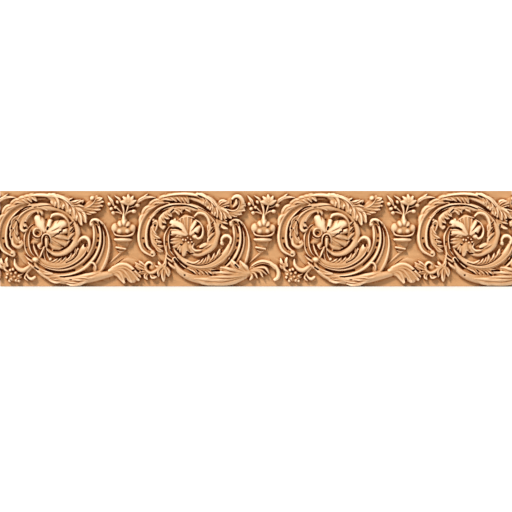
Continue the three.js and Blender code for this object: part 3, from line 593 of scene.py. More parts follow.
def top_leaf_b():
    """The acanthus over the second scroll: lobes, a shadowed gap, and a turned crest on the right."""
    lobes([((-59, 10), (-57.4, 17), (-52.4, 20.6))], 5, 5.4, roll)
    lobes([((-57, 17), (-52.4, 25), (-44, 28)), ((-50.6, 27), (-43.6, 32.6), (-35, 31.4)),
        ((-42, 32.6), (-34.6, 36.4), (-26.6, 34.2)), ((-35, 36), (-28, 37.6), (-22.6, 33)),
        ((-29.4, 37.6), (-22, 37.8), (-17.4, 32)), ((-24, 38.4), (-17, 37.4), (-13.6, 31)),
        ((-19, 38.6), (-13.6, 37), (-10.8, 31.4))], 6.4, 6.8, blade, 0.45, 0.8)
    form([(-36, 36.8), (-27, 39), (-17, 39.8), (-8, 39.4), (-1, 38)], [2.4, 3.4, 3.6, 3.8, 3],
        [5.8, 6.6, 6.8, 7, 7])
    form([(-12, 36.4), (-4, 34.8), (4, 31.2), (10.4, 26)], [3, 4.6, 5, 3], [4.6, 5.2, 5.6, 5.4], slab)
    slot([(-8.8, 32.6), (-3.5, 31.2), (2.5, 28), (8.8, 23)], [2.2, 3, 3, 2], 0.2)
    crest = [(-3, 38.2), (4, 36.6), (9.6, 33.4), (14, 28.8), (18, 23.6), (21.6, 18)]
    form(crest, [3, 6, 8.6, 10, 9.6, 6], [6, 6.4, 6.8, 6.8, 6.6, 5.6], petal)
    for places in ((((5.4, 34.4), (5.4, 32), (6.4, 30)), ((11, 30), (10.4, 27), (10.6, 24.8)),
            ((15.6, 25), (14.6, 21.6), (15, 19))), (((-2, 39), (4.6, 36), (8, 30)),
            ((4, 37.4), (10.6, 32), (12.6, 24)), ((9, 34.6), (15.6, 27), (17.6, 17.4)),
            ((12, 32), (19, 24), (22, 14.6)), ((15, 29), (22.4, 22), (26.6, 13.6)),
            ((17, 27.4), (25, 22), (31.4, 16)))):
        lobes(places, 7.4, 8, turned_blade, 0.16, 1.2)
    form([(-4, 39.4), (2, 38.4), (8, 35.6), (13, 31.4), (16.6, 27)], [1.6, 2.2, 2.6, 2.2, 1.2],
        [7.2, 7.8, 8.4, 8.4, 7.8])
    slot([(-1, 38.4), (2.4, 36.8)], [1.3, 1.7], 2)
    eye(17.8, 31.8, 1.7, 2)


def volute_b():
    """The cupped leaf that rolls up to the right of the crest, with a small fan above its stalk."""
    ball(33.4, 29.6, 7.4, 3.6, 8)
    form([(19, 27), (24, 29.6), (28.6, 31)], [6, 7.6, 5], [5.4, 5.6, 4.6], petal)
    lobes([((18, 28), (22, 32.4), (27, 33)), ((19, 27), (24.6, 30.6), (29, 31)),
        ((20, 26), (25, 28.4), (29.6, 28.2))], 4.4, 7, blade, 0.1, 0.9)
    form([(18, 26), (24, 22.4), (31, 20), (37.6, 21.8), (42, 26.8), (42.8, 32.4), (40, 36.8), (36, 37.4),
        (33, 35)], [6, 7.4, 8, 7.6, 6.6, 5.6, 5, 4, 2.6], [7, 6.4, 6, 6, 6, 6.2, 6.6, 6.6, 6], petal)
    form([(22, 25.6), (27.4, 24.6), (33, 23), (37.6, 24.6), (40, 29), (39.6, 33.4)],
        [1.6, 2, 2.2, 2.2, 2.2, 1.6], [7.2, 7, 6.8, 6.6, 6.6, 6.6])
    lobes([((22, 23), (26, 20), (27, 16.4)), ((26, 21.6), (30.6, 18.8), (32, 16)),
        ((31, 20), (35.6, 18.6), (37.4, 17.4)), ((36, 21), (40.4, 20.8), (42, 20)),
        ((39, 24), (43.4, 24.6), (45.2, 23.6)), ((41, 28), (44.4, 29.4), (46, 28.4))], 4.8, 6.4, blade, 0.1,
        0.8)
    form([(34, 27), (37, 30.4), (37, 34)], [3, 4.6, 3], [5, 6.4, 6.2], petal)
    slot([(33.4, 33.4), (33.2, 30)], [1.6, 2], 1)
    eye(27.6, 26.8, 1.8, 1)
    eye(18.4, 31.8, 1.5, 0.8)
    slot([(26.6, 14.6), (31, 14)], [1.4, 2], 0.4)
    ball(31.6, 11.2, 2.8, 6.2)
    lobes([((18, 15), (19, 10.8), (21.4, 6.4)), ((19, 13), (23.4, 7.6), (28, 5.4)),
        ((19, 14), (24, 12.4), (28.6, 10.4))], 4.4, 5.8, blade)
    slot([(21, 9.4), (20.6, 7)], [1.4, 1.2], 0.4)


def inner_leaves_b():
    """Two leaves inside the second scroll's left: a long serrated one, a small one with a hooked root."""
    form([(-50, 16), (-42, 24), (-35, 27.4), (-27.5, 29.4), (-17.5, 29.8), (-9.5, 28.8), (-2, 26)],
        [2, 3, 3.4, 3.6, 3.6, 3.4, 3], [5, 5.6, 6, 6, 6, 6, 5.6])
    groove([(-43, 20.6), (-35.5, 25.4), (-27.5, 28.1), (-18, 28.8), (-10, 27.8), (-2, 25)],
        [0.9, 1.2, 1.2, 1.2, 1.2, 0.9], 3.6)
    ball(-48, 16.2, 2.2, 5.8)
    ball(-45.8, 14, 2, 5.6)
    eye(-43.8, 19, 1.6, 1)
    form([(-2, 20.6), (-10, 22.6), (-18, 22.4), (-24, 20.6)], [4, 7, 6.6, 3], [2, 2.4, 2.4, 1.6])
    form([(-3, 23.6), (-10, 25.6), (-18, 25.8), (-26, 24), (-33, 20.2), (-38, 14.6), (-38.6, 9), (-36, 6)],
        [2.6, 3.4, 4.8, 6, 6.6, 6.4, 5, 3.6], [5, 5.2, 5.4, 5.4, 5.6, 5.6, 5.6, 5.4], petal)
    ball(-35.4, 7, 2.6, 6)
    eye(-35, 10.2, 2, 0.8)
    lobes([((-38, 17), (-36, 13.6), (-33.4, 11)), ((-35, 20.6), (-33, 17.4), (-30, 15.4)),
        ((-32, 22.6), (-29.6, 20), (-27.6, 17.8)), ((-25, 24.6), (-21.6, 23), (-20, 19.6)),
        ((-22, 25.4), (-18.6, 24.2), (-17.4, 21.4)), ((-15, 26), (-11, 24.8), (-9, 22.4))], 5, 6.4, blade,
        0.14, 0.8)
    slot([(-28.4, 21.6), (-25.6, 24.4)], [1.2, 1.4], 1)
    slot([(-16.6, 22.6), (-14.6, 24)], [1.2, 1.4], 1)
    form([(-43.4, 11.4), (-46.4, 5), (-46.4, -1), (-44.8, -8), (-41.6, -15)], [5, 6.4, 7.4, 7.4, 5],
        [4.6, 4.6, 4.4, 4.2, 4], slab)
    form([(-46, 11), (-43.6, 12.8), (-41.4, 11), (-42.4, 7), (-44.6, 1)], [3, 3.6, 3.6, 3, 1.6],
        [5.2, 5.8, 5.8, 5.4, 4.8])
    eye(-44.2, 8.6, 2.2, 0.8)
    lobes([((-48, 6), (-46, 1.6), (-43, -1)), ((-47.4, 1), (-44, -3), (-39.4, -4.6)),
        ((-46.4, -4), (-42.4, -8), (-37.6, -8.4)), ((-45, -9), (-41, -12.6), (-36, -12.4)),
        ((-43.6, -12), (-40.4, -16), (-36.4, -17.2))], 5, 6, turned_blade, 0.14, 0.8)
    eye(-41.4, -10, 1.7, 0.8)
    eye(-43.6, -5.6, 1.4, 0.8)


def bottom_leaf_b():
    """The long leaf below the second ring, serrated above, with hanging lobes between it and the stem."""
    spine = [(-24, -17), (-19.4, -22.8), (-13, -28), (-5, -31.4), (4, -32.2), (12.6, -30), (20, -25.4),
        (26.4, -19), (30.4, -11)]
    form(spine, [3, 5, 6.4, 7.4, 8.4, 9, 8.8, 7, 4], [5, 5.4, 5.8, 6, 6, 6, 6, 6, 5.4], petal)
    form([(-22, -20), (-16, -26.8), (-8, -31.6), (2, -33.6), (12, -32.4), (21, -28), (28, -21.4)],
        [1.4, 2, 2.2, 2.4, 2.4, 2.2, 1.6], [5.4, 6, 6.2, 6.4, 6.4, 6.4, 6])
    form([(-20, -24), (-14, -27), (-6, -28.2)], [1.2, 2, 1.4], [5.4, 5.8, 5.4])
    lobes([((-9, -30.4), (-3, -29.6), (0.4, -26.6)), ((-4, -31.4), (2, -29.4), (4.4, -25)),
        ((0, -32), (6, -28.4), (7.4, -23.4)), ((5, -31), (9.6, -26.6), (9.4, -20.8)),
        ((9, -29.6), (14, -25), (15.4, -19.6)), ((13, -28), (18.6, -22), (20.6, -15.6))], 5, 6.4,
        turned_blade, 0.14, 0.8)
    groove([(-12, -28.6), (-3, -31), (6, -30.6), (15, -26.6), (22, -20.4)], [0.8, 1, 1, 1, 0.8], 2.4)
    form([(23.2, -10), (22.2, -5.8), (24.6, -2.4), (28.6, -2), (31.8, -5), (31.2, -9.6)],
        [3.2, 3.8, 4, 4, 4, 3.4], [6.2, 6.8, 7, 7, 7, 6.6])
    ball(22.4, -9, 2.4, 7)
    eye(27, -6.8, 4.4, 0.3)
    slot([(24.8, -13), (22.6, -16)], [1.8, 1.4], 0.5)
    slot([(-24.5, -21), (-19.5, -27), (-13.5, -32), (-9.5, -36), (-4.5, -39.5)], [1, 1.5, 1.6, 1.3, 0.9],
        0.6)
    form([(-10, -33.4), (-1, -35.4), (8, -36), (16, -36)], [3, 5, 6, 3], [5, 5.6, 5.6, 5], slab)
    lobes([((-11, -33.6), (-5, -36), (-1.4, -40.6)), ((-7, -34), (-0.6, -37), (3.2, -42.6)),
        ((-2, -34.6), (3.6, -37), (6, -42)), ((3, -35), (8, -37.4), (10.4, -41.4)),
        ((6, -35), (11, -37), (14.6, -41.6))], 5, 6.6, blade, 0.12, 0.9)
    slot([(-2.6, -35.6), (-0.8, -38)], [0.7, 1], 1.6)
    slot([(4.6, -37.2), (7.4, -40.4)], [0.7, 1], 1.6)
    slot([(9.6, -39.6), (12.4, -41)], [1.2, 1.6], 1)
    slot([(12.5, -36.8), (20, -36.6)], [1.6, 2], 0.6)


def stem_leaves_b():
    """The large acanthus that breaks from the stem on its right."""
    form([(49, -38.6), (39, -37.6), (29, -36)], [6, 12, 9], [5.6, 6.2, 5.4], petal)
    lobes([((48, -37.6), (44, -33.6), (40.8, -28)), ((45, -38), (36.6, -33.6), (30, -25)),
        ((43, -39.4), (32, -37.6), (22, -34)), ((41, -41), (28, -40.8), (15, -38.6)),
        ((46, -42), (30, -44.4), (9, -44)), ((43, -43.6), (26, -47.6), (5, -48.4)),
        ((24, -46.6), (10, -47.4), (-4, -45.4))], 9, 7.6, blade, 0.24, 0.8)
    slot([(36, -30.6), (39, -33.6)], [1.8, 1], 1.2)
    eye(-14.5, -41, 1.8, 2)


def slots_b():
    """The slots that part the bands of the second scroll."""
    slot([(36.6, -15.6), (34, -20), (30, -26.4), (26, -31)], [1.2, 1.6, 2, 1.6], 0.3)
    slot([(-24.5, -25), (-20.5, -30), (-15.5, -34.5)], [2.2, 2.6, 2.2], 0.3)
    eye(-32.5, -8, 1.7, 0.8)
    slot([(-28.6, -15.4), (-27.4, -17.2)], [1.6, 1.6], 0.8)


def flower_b():
    """A fan-shaped shell with a rolled right side, jagged petals on its left and berries between."""
    form([(-22, 13), (-17, 16.2), (-11, 17.2), (-5, 16)], [1.6, 2.2, 2.4, 2], [5, 5.6, 5.8, 5.2])
    ball(-14, -2, 15, 5, 13)
    fan((-12, -1.6), (-13.4, 16), 15, 6.6, 4)
    form([(-12.4, 0), (-18.6, 8), (-26.6, 11.6)], [5, 8.6, 6], [7, 8, 7.6], petal)
    lobes([((-20, 10), (-24, 13.4), (-23, 13.2)), ((-21, 9), (-26, 11.6), (-29, 11)),
        ((-20, 6), (-25, 8), (-28, 7.6))], 5, 8, blade)
    slot([(-17.4, 4), (-21.4, 6), (-26, 5.6)], [0.8, 2, 1.4], 2)
    form([(-13.4, -1), (-19.4, 1), (-26, 1.6)], [4, 7, 5], [7, 7.6, 7], petal)
    lobes([((-16, 0), (-21.6, 3), (-28.6, 4)), ((-17, 0), (-23, 0), (-28, -1)),
        ((-16, -1), (-20, -2), (-24, -3.4)), ((-14.6, -1), (-17.4, -2.6), (-20, -3.6))], 4.4, 7.4, blade)
    slot([(-17, -5), (-21, -4.2), (-25.6, -4.4)], [1.2, 1.6, 1.2], 1.6)
    lobes([((-17, -6), (-22.6, -5.8), (-28, -6)), ((-17, -7), (-22.4, -9), (-28.4, -8.6)),
        ((-17, -8), (-21.6, -12), (-26, -13)), ((-16, -9), (-19, -13.6), (-21.6, -15.6))], 5, 6.8, blade)
    slot([(-18.4, -10.4), (-16.4, -11.6)], [1.4, 1.8], 1.4)
    form([(-12.6, -9), (-14.6, -15), (-15.6, -20.4)], [6, 9.4, 5], [6, 6.4, 6], petal)
    lobes([((-13, -10), (-17.6, -15), (-19, -18.6)), ((-12.4, -10), (-15, -17), (-15.6, -22)),
        ((-11.6, -10), (-11.6, -15), (-11.6, -18.6))], 4.6, 6.8, blade)
    form([(-9.4, -9), (-8.8, -13), (-5.6, -17.4)], [4, 6.4, 5], [6.2, 6.6, 5.6], petal)
    form([(-5.6, -9.6), (-6.8, -13.4), (-3.6, -16.6), (2, -16.4)], [2, 2.8, 3, 2], [6.6, 7, 6.8, 6])
    slot([(-12, -17.6), (-9.6, -19.4), (-6.4, -19.6)], [1.4, 2, 1.4], 0.4)
    form([(-9, 0), (-6.4, 6), (-4, 11.6)], [5, 10, 6.4], [7.2, 8, 7.4])
    form([(-8.4, -0.4), (-3.6, 4), (0.4, 7)], [5, 9.6, 6.4], [7.2, 8.2, 7.4])
    groove([(-8, 2.6), (-4.6, 6.4), (-1, 11)], [0.7, 1.3, 1.2], [0.6, 1.6, 1.6])
    ball(-4.4, -2.4, 4.4, 7.6, 3.6)
    form([(-3.6, 14), (1.4, 10.4), (3.8, 4), (2.8, -2), (-1, -4.4), (-3.6, -2.4), (-3, 0.6)],
        [1.8, 2.2, 2.6, 2.8, 2.8, 2.2, 1.6], [7, 7.8, 8.2, 8.2, 7.8, 7.4, 7])
    slot([(-4, 1.2), (-1.6, -1)], [1.6, 2], 2.6)
    for x, z, radius in ((-16, -5.6, 1.9), (-13.4, -6, 1.9), (-10.6, -8.4, 1.9), (-8.4, -5.4, 1.7),
            (-11.4, -3.6, 1.6), (-7.4, -8, 1.7)):
        ball(x, z, radius, 7.8)
    slot([(-4.4, -13), (-1, -10.4), (2, -8.6), (3.6, -5)], [1, 1.8, 1.8, 1], 0.6)
    slot([(-3, -14.6), (2, -14.2), (6, -13.6)], [0.8, 1.6, 1], 1)
    lobes([((1, -13), (5, -10.6), (9, -9.6)), ((5, -13.6), (9, -11), (13.2, -9))], 4.4, 6.2, blade)


def sprig_b():
    """The twig that hangs at the second scroll's left: a rolled tendril and two ruffled leaves."""
    form([(-33, -12), (-32.6, -19), (-33.2, -25), (-35, -30), (-39, -32.6)], [3, 3, 3.2, 3.2, 3],
        [5, 5, 5, 5, 4.8])
    form([(-38, -31.5), (-43.6, -37), (-49, -38.8), (-53.2, -35.8), (-53.6, -31.4), (-50.4, -28.4),
        (-47, -30), (-47.6, -33)], [4, 4.6, 4.2, 3.6, 3.4, 3, 2.4, 1.6], [5, 5.4, 5.4, 5.2, 5.2, 5, 4.6, 4])
    ball(-46.6, -33.4, 4.6, 3.8)
    lobes([((-36.5, -33.6), (-39.4, -30.8), (-40.8, -28)), ((-37.5, -35), (-41, -33.6), (-43.8, -32))], 4,
        5.8, blade)
    form([(-52.6, -37), (-58, -34.6), (-62, -31.6)], [5, 7.6, 5], [4, 4.4, 4], petal)
    lobes([((-52.6, -37.6), (-58.6, -35.6), (-64, -33)), ((-53, -35), (-58.4, -32.6), (-63.6, -29)),
        ((-53, -33.6), (-57.4, -30.4), (-60, -27.4)), ((-52, -39), (-57.6, -38.8), (-61.4, -40.4)),
        ((-51, -38.6), (-53.6, -42), (-52, -45)), ((-48, -39.4), (-46.6, -42.6), (-42.6, -42.4))], 4.6, 5.2,
        blade, 0.1, 0.8)
    eye(-57.6, -36.6, 1.6, 1)
    eye(-51.6, -33.6, 1.4, 1)
    form([(-34.6, -33), (-35.4, -38), (-35.6, -43)], [5, 9, 5], [4.6, 4.8, 4], petal)
    lobes([((-35.6, -33), (-39.4, -37), (-40.4, -42)), ((-34.6, -33), (-35.6, -39.6), (-35.6, -46.6)),
        ((-33.6, -33), (-31.4, -37), (-30.8, -41.6))], 6, 6, blade, 0.1, 0.9)
    form([(-32.6, -27), (-33.6, -31), (-34.6, -35)], [2, 2.6, 3], [4.8, 5, 5.2])


def right_leaf_b():
    """The long leaf on the right of the second scroll, curled over at its tip, with lobes below."""
    form([(50, -35.4), (56, -30.4), (63, -28), (71, -29.6), (76, -34)], [3, 4.6, 5.4, 4.8, 4],
        [3.6, 4.2, 4.6, 4.8, 4.6], slab)
    form([(70, -28.6), (76.6, -33.2), (79.2, -38.6), (78.2, -43.4), (75.4, -45.6)],
        [3.4, 4.4, 4.6, 4.4, 3.4], [4.8, 5.6, 5.8, 5.6, 5])
    lobes([((50, -38), (55, -39), (57.8, -43.6)), ((50, -38.6), (52.8, -41.4), (50.6, -45.6)),
        ((51, -36.6), (60, -37.4), (63.4, -42.6)), ((54, -34.6), (64.6, -33.6), (69.4, -39)),
        ((52, -36), (61, -36), (67, -40))], 5, 5.8)
    groove([(52, -33), (58, -29.6), (64, -28.6), (70, -30)], [0.8, 1, 1, 0.8], 1.2)


FORMS_A = (stem_leaves_a, top_leaf_a, branch_leaf_a, hanging_leaves_a, bottom_leaf_a, slots_a,
    flower_a, sprig_a, right_leaf_a)
FORMS_B = (stem_leaves_b, inner_leaves_b, top_leaf_b, volute_b, bottom_leaf_b, slots_b,
    flower_b, sprig_b, right_leaf_b)
CURL_A = [(-8.5, 16), (-6.5, 18.8), (-2, 20), (3, 18.8), (7, 15.5), (9.6, 10), (10.2, 1)]
CURL_B = [(-4.6, 17.6), (-1, 21), (4.4, 20.4), (8.4, 16.6), (10.4, 11), (10.8, 6), (10, 0)]
SCROLLS = ((FORMS_A, CURL_A), (FORMS_B, CURL_B))


def scroll(forms, curl_points):
    """One scroll: what both kinds have, then its own forms in the order they lie over each other."""
    frame_of_scroll()
    ring_ticks()
    for draw in forms:
        draw()
    curl(curl_points)


# The face as a closed mesh

# The crests' pale mark: a painted highlight on what stands up, with some wear on the edges
CREST_REACH = 1.2        # squares over which a place is compared with what lies round it
CREST_DEPTH = 1.8        # steps above its neighbours at which a crest's painted highlight, with some wear, is at its palest
CREST_FROM = 6.2         # steps above the board from which height alone adds painted highlight
CREST_OF_HEIGHT = 0.7    # how much painted highlight height alone adds
ON_FRONT = 1e-4          # metres behind the board's face that still count as the front


def blurred(field, reach):
    """Each cell averaged with its neighbours, three times over, which comes close to a bell curve."""
    span = max(int(round(reach / CELL)), 1)
    width = 2 * span + 1
    for axis in (0, 1):
        for _ in range(3):
            padding = [(span + 1, span) if side == axis else (0, 0) for side in (0, 1)]
            total = np.cumsum(np.pad(field, padding, mode="edge"), axis=axis)
            count = field.shape[axis]
            upper = np.take(total, np.arange(width, width + count), axis)
            lower = np.take(total, np.arange(count), axis)
            field = (upper - lower) / width
    return field


def softened(field):
    """The sharpest edges eased over one cell, as sanding leaves them."""
    padded = np.pad(field, 1, mode="edge")
    across = (padded[:, :-2] + 2 * padded[:, 1:-1] + padded[:, 2:]) / 4
    return (across[:-2] + 2 * across[1:-1] + across[2:]) / 4


def carved_face():
    """The whole length's height field, in steps above the board."""
    first = FIRST_SCROLL / SQUARE - MIDDLE
    count = int(np.ceil(LENGTH / SQUARE / SCROLL_PITCH)) + 2
    for number in range(-1, count):
        x = first + number * SCROLL_PITCH
        FACE.at(x, SCROLL_ABOVE_MIDDLE)
        scroll(*SCROLLS[number % 2])
        FACE.at(x + URN_FROM_SCROLL, SCROLL_ABOVE_MIDDLE)
        urn()
        spray()
    return np.clip(softened(FACE.height), 0, STEPS_DEEP)


def end_fans(index, below, above):
    """Triangles that close both ends, from each end's edge to its two corners at the back."""
    half = len(index) // 2
    fans = []
    for column, turn in ((0, 1), (-1, -1)):
        edge = index[:, column]
        low_corner, high_corner = below[column], above[column]
        for j in range(len(index) - 1):
            fans.append((edge[j], edge[j + 1], low_corner if j < half else high_corner)[::turn])
        fans.append((edge[half], high_corner, low_corner)[::turn])
    return np.array(fans)


def closed_mesh(height):
    """The height field with its side walls and a plain flat back."""
    rows, columns = height.shape
    xs = np.linspace(LOW[0], HIGH[0], columns)
    zs = np.linspace(LOW[2], HIGH[2], rows)
    front = np.stack([np.tile(xs, rows), GROUND - height.ravel() * STEP_UP, np.repeat(zs, columns)], 1)
    lower_back = np.stack([xs, np.full(columns, HIGH[1]), np.full(columns, LOW[2])], 1)
    upper_back = lower_back + [0, 0, HEIGHT]
    points = np.concatenate([front, lower_back, upper_back])

    index = np.arange(rows * columns).reshape(rows, columns)
    below = rows * columns + np.arange(columns)
    above = below + columns
    quads = [
        (index[:-1, :-1], index[:-1, 1:], index[1:, 1:], index[1:, :-1]),
        (index[0, 1:], index[0, :-1], below[:-1], below[1:]),
        (index[-1, :-1], index[-1, 1:], above[1:], above[:-1]),
        (below[1:], below[:-1], above[:-1], above[1:]),
    ]
    quads = np.concatenate([np.stack([corner.ravel() for corner in quad], 1) for quad in quads])
    fans = end_fans(index, below, above)
    totals = np.repeat([4, 3], [len(quads), len(fans)])
    starts = np.concatenate([[0], np.cumsum(totals)[:-1]])
    corners = np.concatenate([quads.ravel(), fans.ravel()])

    mesh = bpy.data.meshes.new("moulding_carving")
    mesh.vertices.add(len(points))
    mesh.vertices.foreach_set("co", points.astype(np.float32).ravel())
    mesh.loops.add(len(corners))
    mesh.loops.foreach_set("vertex_index", corners.astype(np.int32))
    mesh.polygons.add(len(totals))
    mesh.polygons.foreach_set("loop_start", starts.astype(np.int32))
    mesh.polygons.foreach_set("loop_total", totals.astype(np.int32))
    mesh.update(calc_edges=True)
    mesh.validate()
    return mesh


def places_of(mesh):
    """The place of each point of a mesh, a row for each."""
    points = np.empty(len(mesh.vertices) * 3, np.float32)
    mesh.vertices.foreach_get("co", points)
    return points.reshape(-1, 3)


def lightened(piece):
    """Fewer triangles, kept where the carving needs them."""
    triangles = sum(polygon.loop_total - 2 for polygon in piece.data.polygons)
    fewer = piece.modifiers.new("fewer", "DECIMATE")
    fewer.ratio = TRIANGLES / triangles
    seen = piece.evaluated_get(bpy.context.evaluated_depsgraph_get())
    mesh = bpy.data.meshes.new_from_object(seen)
    piece.modifiers.clear()
    piece.data = mesh
    inside = np.clip(places_of(mesh), LOW, HIGH)
    mesh.vertices.foreach_set("co", inside.astype(np.float32).ravel())
    mesh.shade_smooth()
    mesh.set_sharp_from_angle(angle=SHARP_ANGLE)


def paint(piece, name, field):
    """A value for each point of the front, read from a field over the face. Sides and back get none."""
    mesh = piece.data
    points = places_of(mesh)
    rows, columns = field.shape
    i = np.clip((points[:, 0] - LOW[0]) / LENGTH * (columns - 1), 0, columns - 1).round().astype(int)
    j = np.clip((points[:, 2] - LOW[2]) / HEIGHT * (rows - 1), 0, rows - 1).round().astype(int)
    values = np.where(points[:, 1] < GROUND + ON_FRONT, field[j, i], 0)
    attribute = mesh.attributes.new(name, "FLOAT", "POINT")
    attribute.data.foreach_set("value", values.astype(np.float32))


def carving():
    """The carved board, in place of the frame's solid."""
    height = carved_face()
    piece = bpy.data.objects.new("moulding_carving", closed_mesh(height))
    bpy.context.scene.collection.objects.link(piece)
    lightened(piece)
    # Painted highlight, with some wear: paler where a place stands over its neighbours, and on the highest
    # places
    crest_highlight_and_wear = (height - blurred(height, CREST_REACH)) / CREST_DEPTH
    high = (height - CREST_FROM) / (STEPS_DEEP - CREST_FROM) * CREST_OF_HEIGHT
    paint(piece, "crest", np.clip(crest_highlight_and_wear + np.clip(high, 0, 1), 0, 1))
    piece.data.materials.append(carved_wood())
    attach(piece, "root")
    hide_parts("moulding")


# The wood

GROUND_TONE = (0.50, 0.285, 0.138, 1)
GRAIN_TONE = (0.37, 0.175, 0.070, 1)
# Painted highlight, with some wear: the cream that the crests are paled towards
CREST_HIGHLIGHT_AND_WEAR_TONE = (0.95, 0.72, 0.49, 1)
# Painted shade: the two tones that the hollows are darkened towards where the carving closes the sky over
# them
SHADED_TONE = (0.27, 0.090, 0.018, 1)
DEEP_SHADE_TONE = (0.115, 0.014, 0.0003, 1)

# Streaks to a metre along, into and up the board, and the part of the noise's range that shows
BROAD_STREAKS = (7, 30, 45)
BROAD_RANGE = (0.35, 0.65)
BROAD_DETAIL = 3
FINE_STREAKS = (24, 240, 420)
FINE_RANGE = (0.35, 0.7)
FINE_DETAIL = 4
PORES = (60, 700, 1100)
PORE_DETAIL = 2
STREAK_ROUGHNESS = 0.6

# How much of its own colour each layer lays on
BROAD_SHARE = 0.45
FINE_SHARE = 0.30
# How much painted highlight, with some wear, the crests take
CREST_HIGHLIGHT_AND_WEAR_SHARE = 0.9

# The open sky at which the two tones of painted shade in a hollow start, and at which they are full
SHADE_REACH = 0.007     # metres
SKY_SAMPLES = 12
SHADED_SKY = (0.98, 0.66)
DEEP_SHADE_SKY = (0.72, 0.36)

ROUGHNESS_RANGE = (0.46, 0.6)
SPECULAR = 0.06
PORE_STRENGTH = 0.12
PORE_DEPTH = 0.0004


def feed(tree, socket, value):
    """Sets a socket to a value, or links it where the value is another node's output."""
    if isinstance(value, bpy.types.NodeSocket):
        tree.links.new(value, socket)
    else:
        socket.default_value = value


def node(tree, kind, **inputs):
    """A shader node with its inputs set or linked by name."""
    made = tree.nodes.new(kind)
    for name, value in inputs.items():
        feed(tree, made.inputs[name.replace("_", " ")], value)
    return made


def mixed(tree, share, first, second):
    """Two colours mixed by a share."""
    made = tree.nodes.new("ShaderNodeMix")
    made.data_type = "RGBA"
    for number, value in ((0, share), (6, first), (7, second)):
        feed(tree, made.inputs[number], value)
    return made.outputs[2]


def product(tree, value, factor):
    """A value times a factor, kept between 0 and 1."""
    made = tree.nodes.new("ShaderNodeMath")
    made.operation = "MULTIPLY"
    made.use_clamp = True
    tree.links.new(value, made.inputs[0])
    made.inputs[1].default_value = factor
    return made.outputs[0]


def painted(tree, name):
    """A value that was painted on the mesh."""
    made = tree.nodes.new("ShaderNodeAttribute")
    made.attribute_name = name
    return made.outputs["Fac"]


def streaks(tree, scale, detail):
    """Noise drawn out along the board's length, as wood grain runs."""
    place = tree.nodes.new("ShaderNodeTexCoord")
    stretch = node(tree, "ShaderNodeMapping", Vector=place.outputs["Object"], Scale=scale)
    noise = node(tree, "ShaderNodeTexNoise", Vector=stretch.outputs[0], Scale=1.0, Detail=detail,
                 Roughness=STREAK_ROUGHNESS)
    return noise.outputs["Fac"]


def ranged(tree, value, low, high, to_low=0.0, to_high=1.0):
    """A value carried from one range to another."""
    made = node(tree, "ShaderNodeMapRange", Value=value, From_Min=low, From_Max=high, To_Min=to_low,
                To_Max=to_high)
    return made.outputs[0]


def open_sky(tree):
    """How much of the sky over a place the carving leaves open, which sets where shade is painted on the
    wood.
    """
    sky = tree.nodes.new("ShaderNodeAmbientOcclusion")
    sky.only_local = True
    sky.samples = SKY_SAMPLES
    sky.inputs["Distance"].default_value = SHADE_REACH
    return sky.outputs["AO"]


def carved_wood():
    """Oiled hardwood, streaked along its length, with painted shade in the hollows and a painted highlight,
    with some wear, on the crests.
    """
    material = bpy.data.materials.new("carved_wood")
    material.use_nodes = True
    tree = material.node_tree
    shader = tree.nodes["Principled BSDF"]
    broad = ranged(tree, streaks(tree, BROAD_STREAKS, BROAD_DETAIL), *BROAD_RANGE)
    fine = ranged(tree, streaks(tree, FINE_STREAKS, FINE_DETAIL), *FINE_RANGE)
    colour = mixed(tree, product(tree, broad, BROAD_SHARE), GROUND_TONE, GRAIN_TONE)
    colour = mixed(tree, product(tree, fine, FINE_SHARE), colour, GRAIN_TONE)
    # Painted highlight, with some wear: the crests paled towards cream
    colour = mixed(tree, product(tree, painted(tree, "crest"), CREST_HIGHLIGHT_AND_WEAR_SHARE), colour, CREST_HIGHLIGHT_AND_WEAR_TONE)
    # Painted shade: darker towards two shaded tones where the carving closes the sky over a place
    sky = open_sky(tree)
    colour = mixed(tree, ranged(tree, sky, *SHADED_SKY), colour, SHADED_TONE)
    colour = mixed(tree, ranged(tree, sky, *DEEP_SHADE_SKY), colour, DEEP_SHADE_TONE)
    tree.links.new(colour, shader.inputs["Base Color"])
    tree.links.new(ranged(tree, fine, 0, 1, *ROUGHNESS_RANGE), shader.inputs["Roughness"])
    shader.inputs["Specular IOR Level"].default_value = SPECULAR
    pores = streaks(tree, PORES, PORE_DETAIL)
    bump = node(tree, "ShaderNodeBump", Height=pores, Strength=PORE_STRENGTH, Distance=PORE_DEPTH)
    tree.links.new(bump.outputs[0], shader.inputs["Normal"])
    return material


# The studio

CAMERA_LENS = 100
SENSOR = 36
CAMERA_SHIFT = -0.0342
FLOOR_GAP = 0.0005
FLOOR_SIZE = 12
FLOOR_TONE = (0.72, 0.72, 0.71, 1)
FLOOR_ROUGHNESS = 0.7
WALL_TONE = (0.9, 0.9, 0.9, 1)
WALL_ROUGHNESS = 0.8
KEY_TONE = (1.0, 0.97, 0.92)
KEY_STRENGTH = 4.9
KEY_SOFTNESS = np.radians(11)
KEY_FROM = (-1.1, -1.5, 2.1)
SURROUND_TONE = (1, 1, 1, 1)
SURROUND = 0.34


def plain(name, colour, roughness):
    """A material of one colour."""
    material = bpy.data.materials.new(name)
    material.use_nodes = True
    shader = material.node_tree.nodes["Principled BSDF"]
    shader.inputs["Base Color"].default_value = colour
    shader.inputs["Roughness"].default_value = roughness
    return material


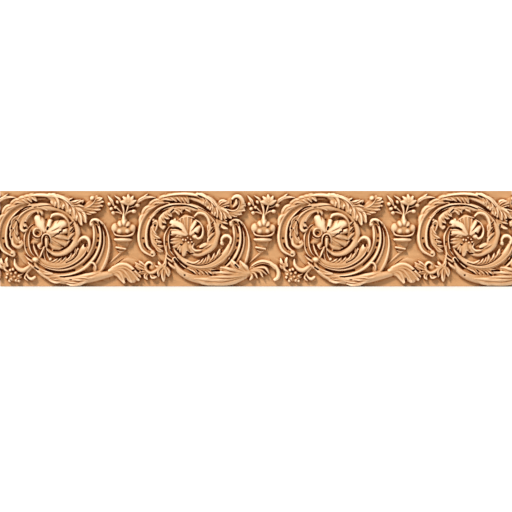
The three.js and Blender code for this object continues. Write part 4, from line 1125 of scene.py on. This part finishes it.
def sheet(name, corners, material):
    """One flat face between four corners."""
    mesh = bpy.data.meshes.new(name)
    mesh.from_pydata(corners, [], [(0, 1, 2, 3)])
    mesh.materials.append(material)
    made = bpy.data.objects.new(name, mesh)
    bpy.context.scene.collection.objects.link(made)
    return made


def floor():
    """A pale floor just under the moulding."""
    half = FLOOR_SIZE / 2
    z = LOW[2] - FLOOR_GAP
    corners = [(-half, -half, z), (half, -half, z), (half, half, z), (-half, half, z)]
    plane = sheet("floor", corners, plain("pale_floor", FLOOR_TONE, FLOOR_ROUGHNESS))


def backdrop():
    """A pale wall far behind, so that the picture's ground is light."""
    half = FLOOR_SIZE / 2
    low = LOW[2] - FLOOR_GAP
    high = low + FLOOR_SIZE
    corners = [(-half, half, low), (half, half, low), (half, half, high), (-half, half, high)]
    wall_behind = sheet("backdrop", corners, plain("pale_wall", WALL_TONE, WALL_ROUGHNESS))


def placed(thing, name, place, target=(0, 0, 0)):
    """A light or camera at its place, turned to look at a target."""
    made = bpy.data.objects.new(name, thing)
    made.location = place
    made.rotation_euler = (Vector(target) - Vector(place)).to_track_quat("-Z", "Y").to_euler()
    bpy.context.scene.collection.objects.link(made)
    return made


def lights():
    """A broad key from above and a little left, and an even pale surround."""
    key = bpy.data.lights.new("key", "SUN")
    key.energy = KEY_STRENGTH
    key.angle = KEY_SOFTNESS
    key.color = KEY_TONE
    placed(key, "key", KEY_FROM)
    world = bpy.data.worlds.new("surround")
    world.use_nodes = True
    background = world.node_tree.nodes["Background"]
    background.inputs["Color"].default_value = SURROUND_TONE
    background.inputs["Strength"].default_value = SURROUND
    bpy.context.scene.world = world


def camera():
    """Square on to the face, as the photo looks at it, with the whole length across the frame."""
    lens = bpy.data.cameras.new("camera")
    lens.lens = CAMERA_LENS
    lens.sensor_width = SENSOR
    lens.shift_y = CAMERA_SHIFT
    distance = LENGTH * CAMERA_LENS / SENSOR
    bpy.context.scene.camera = placed(lens, "camera", (0, GROUND - distance, 0))
    bpy.context.scene.camera.rotation_euler = (np.radians(90), 0, 0)


camera()
floor()
backdrop()
lights()
carving()
bpy.context.scene.view_settings.view_transform = "Standard"
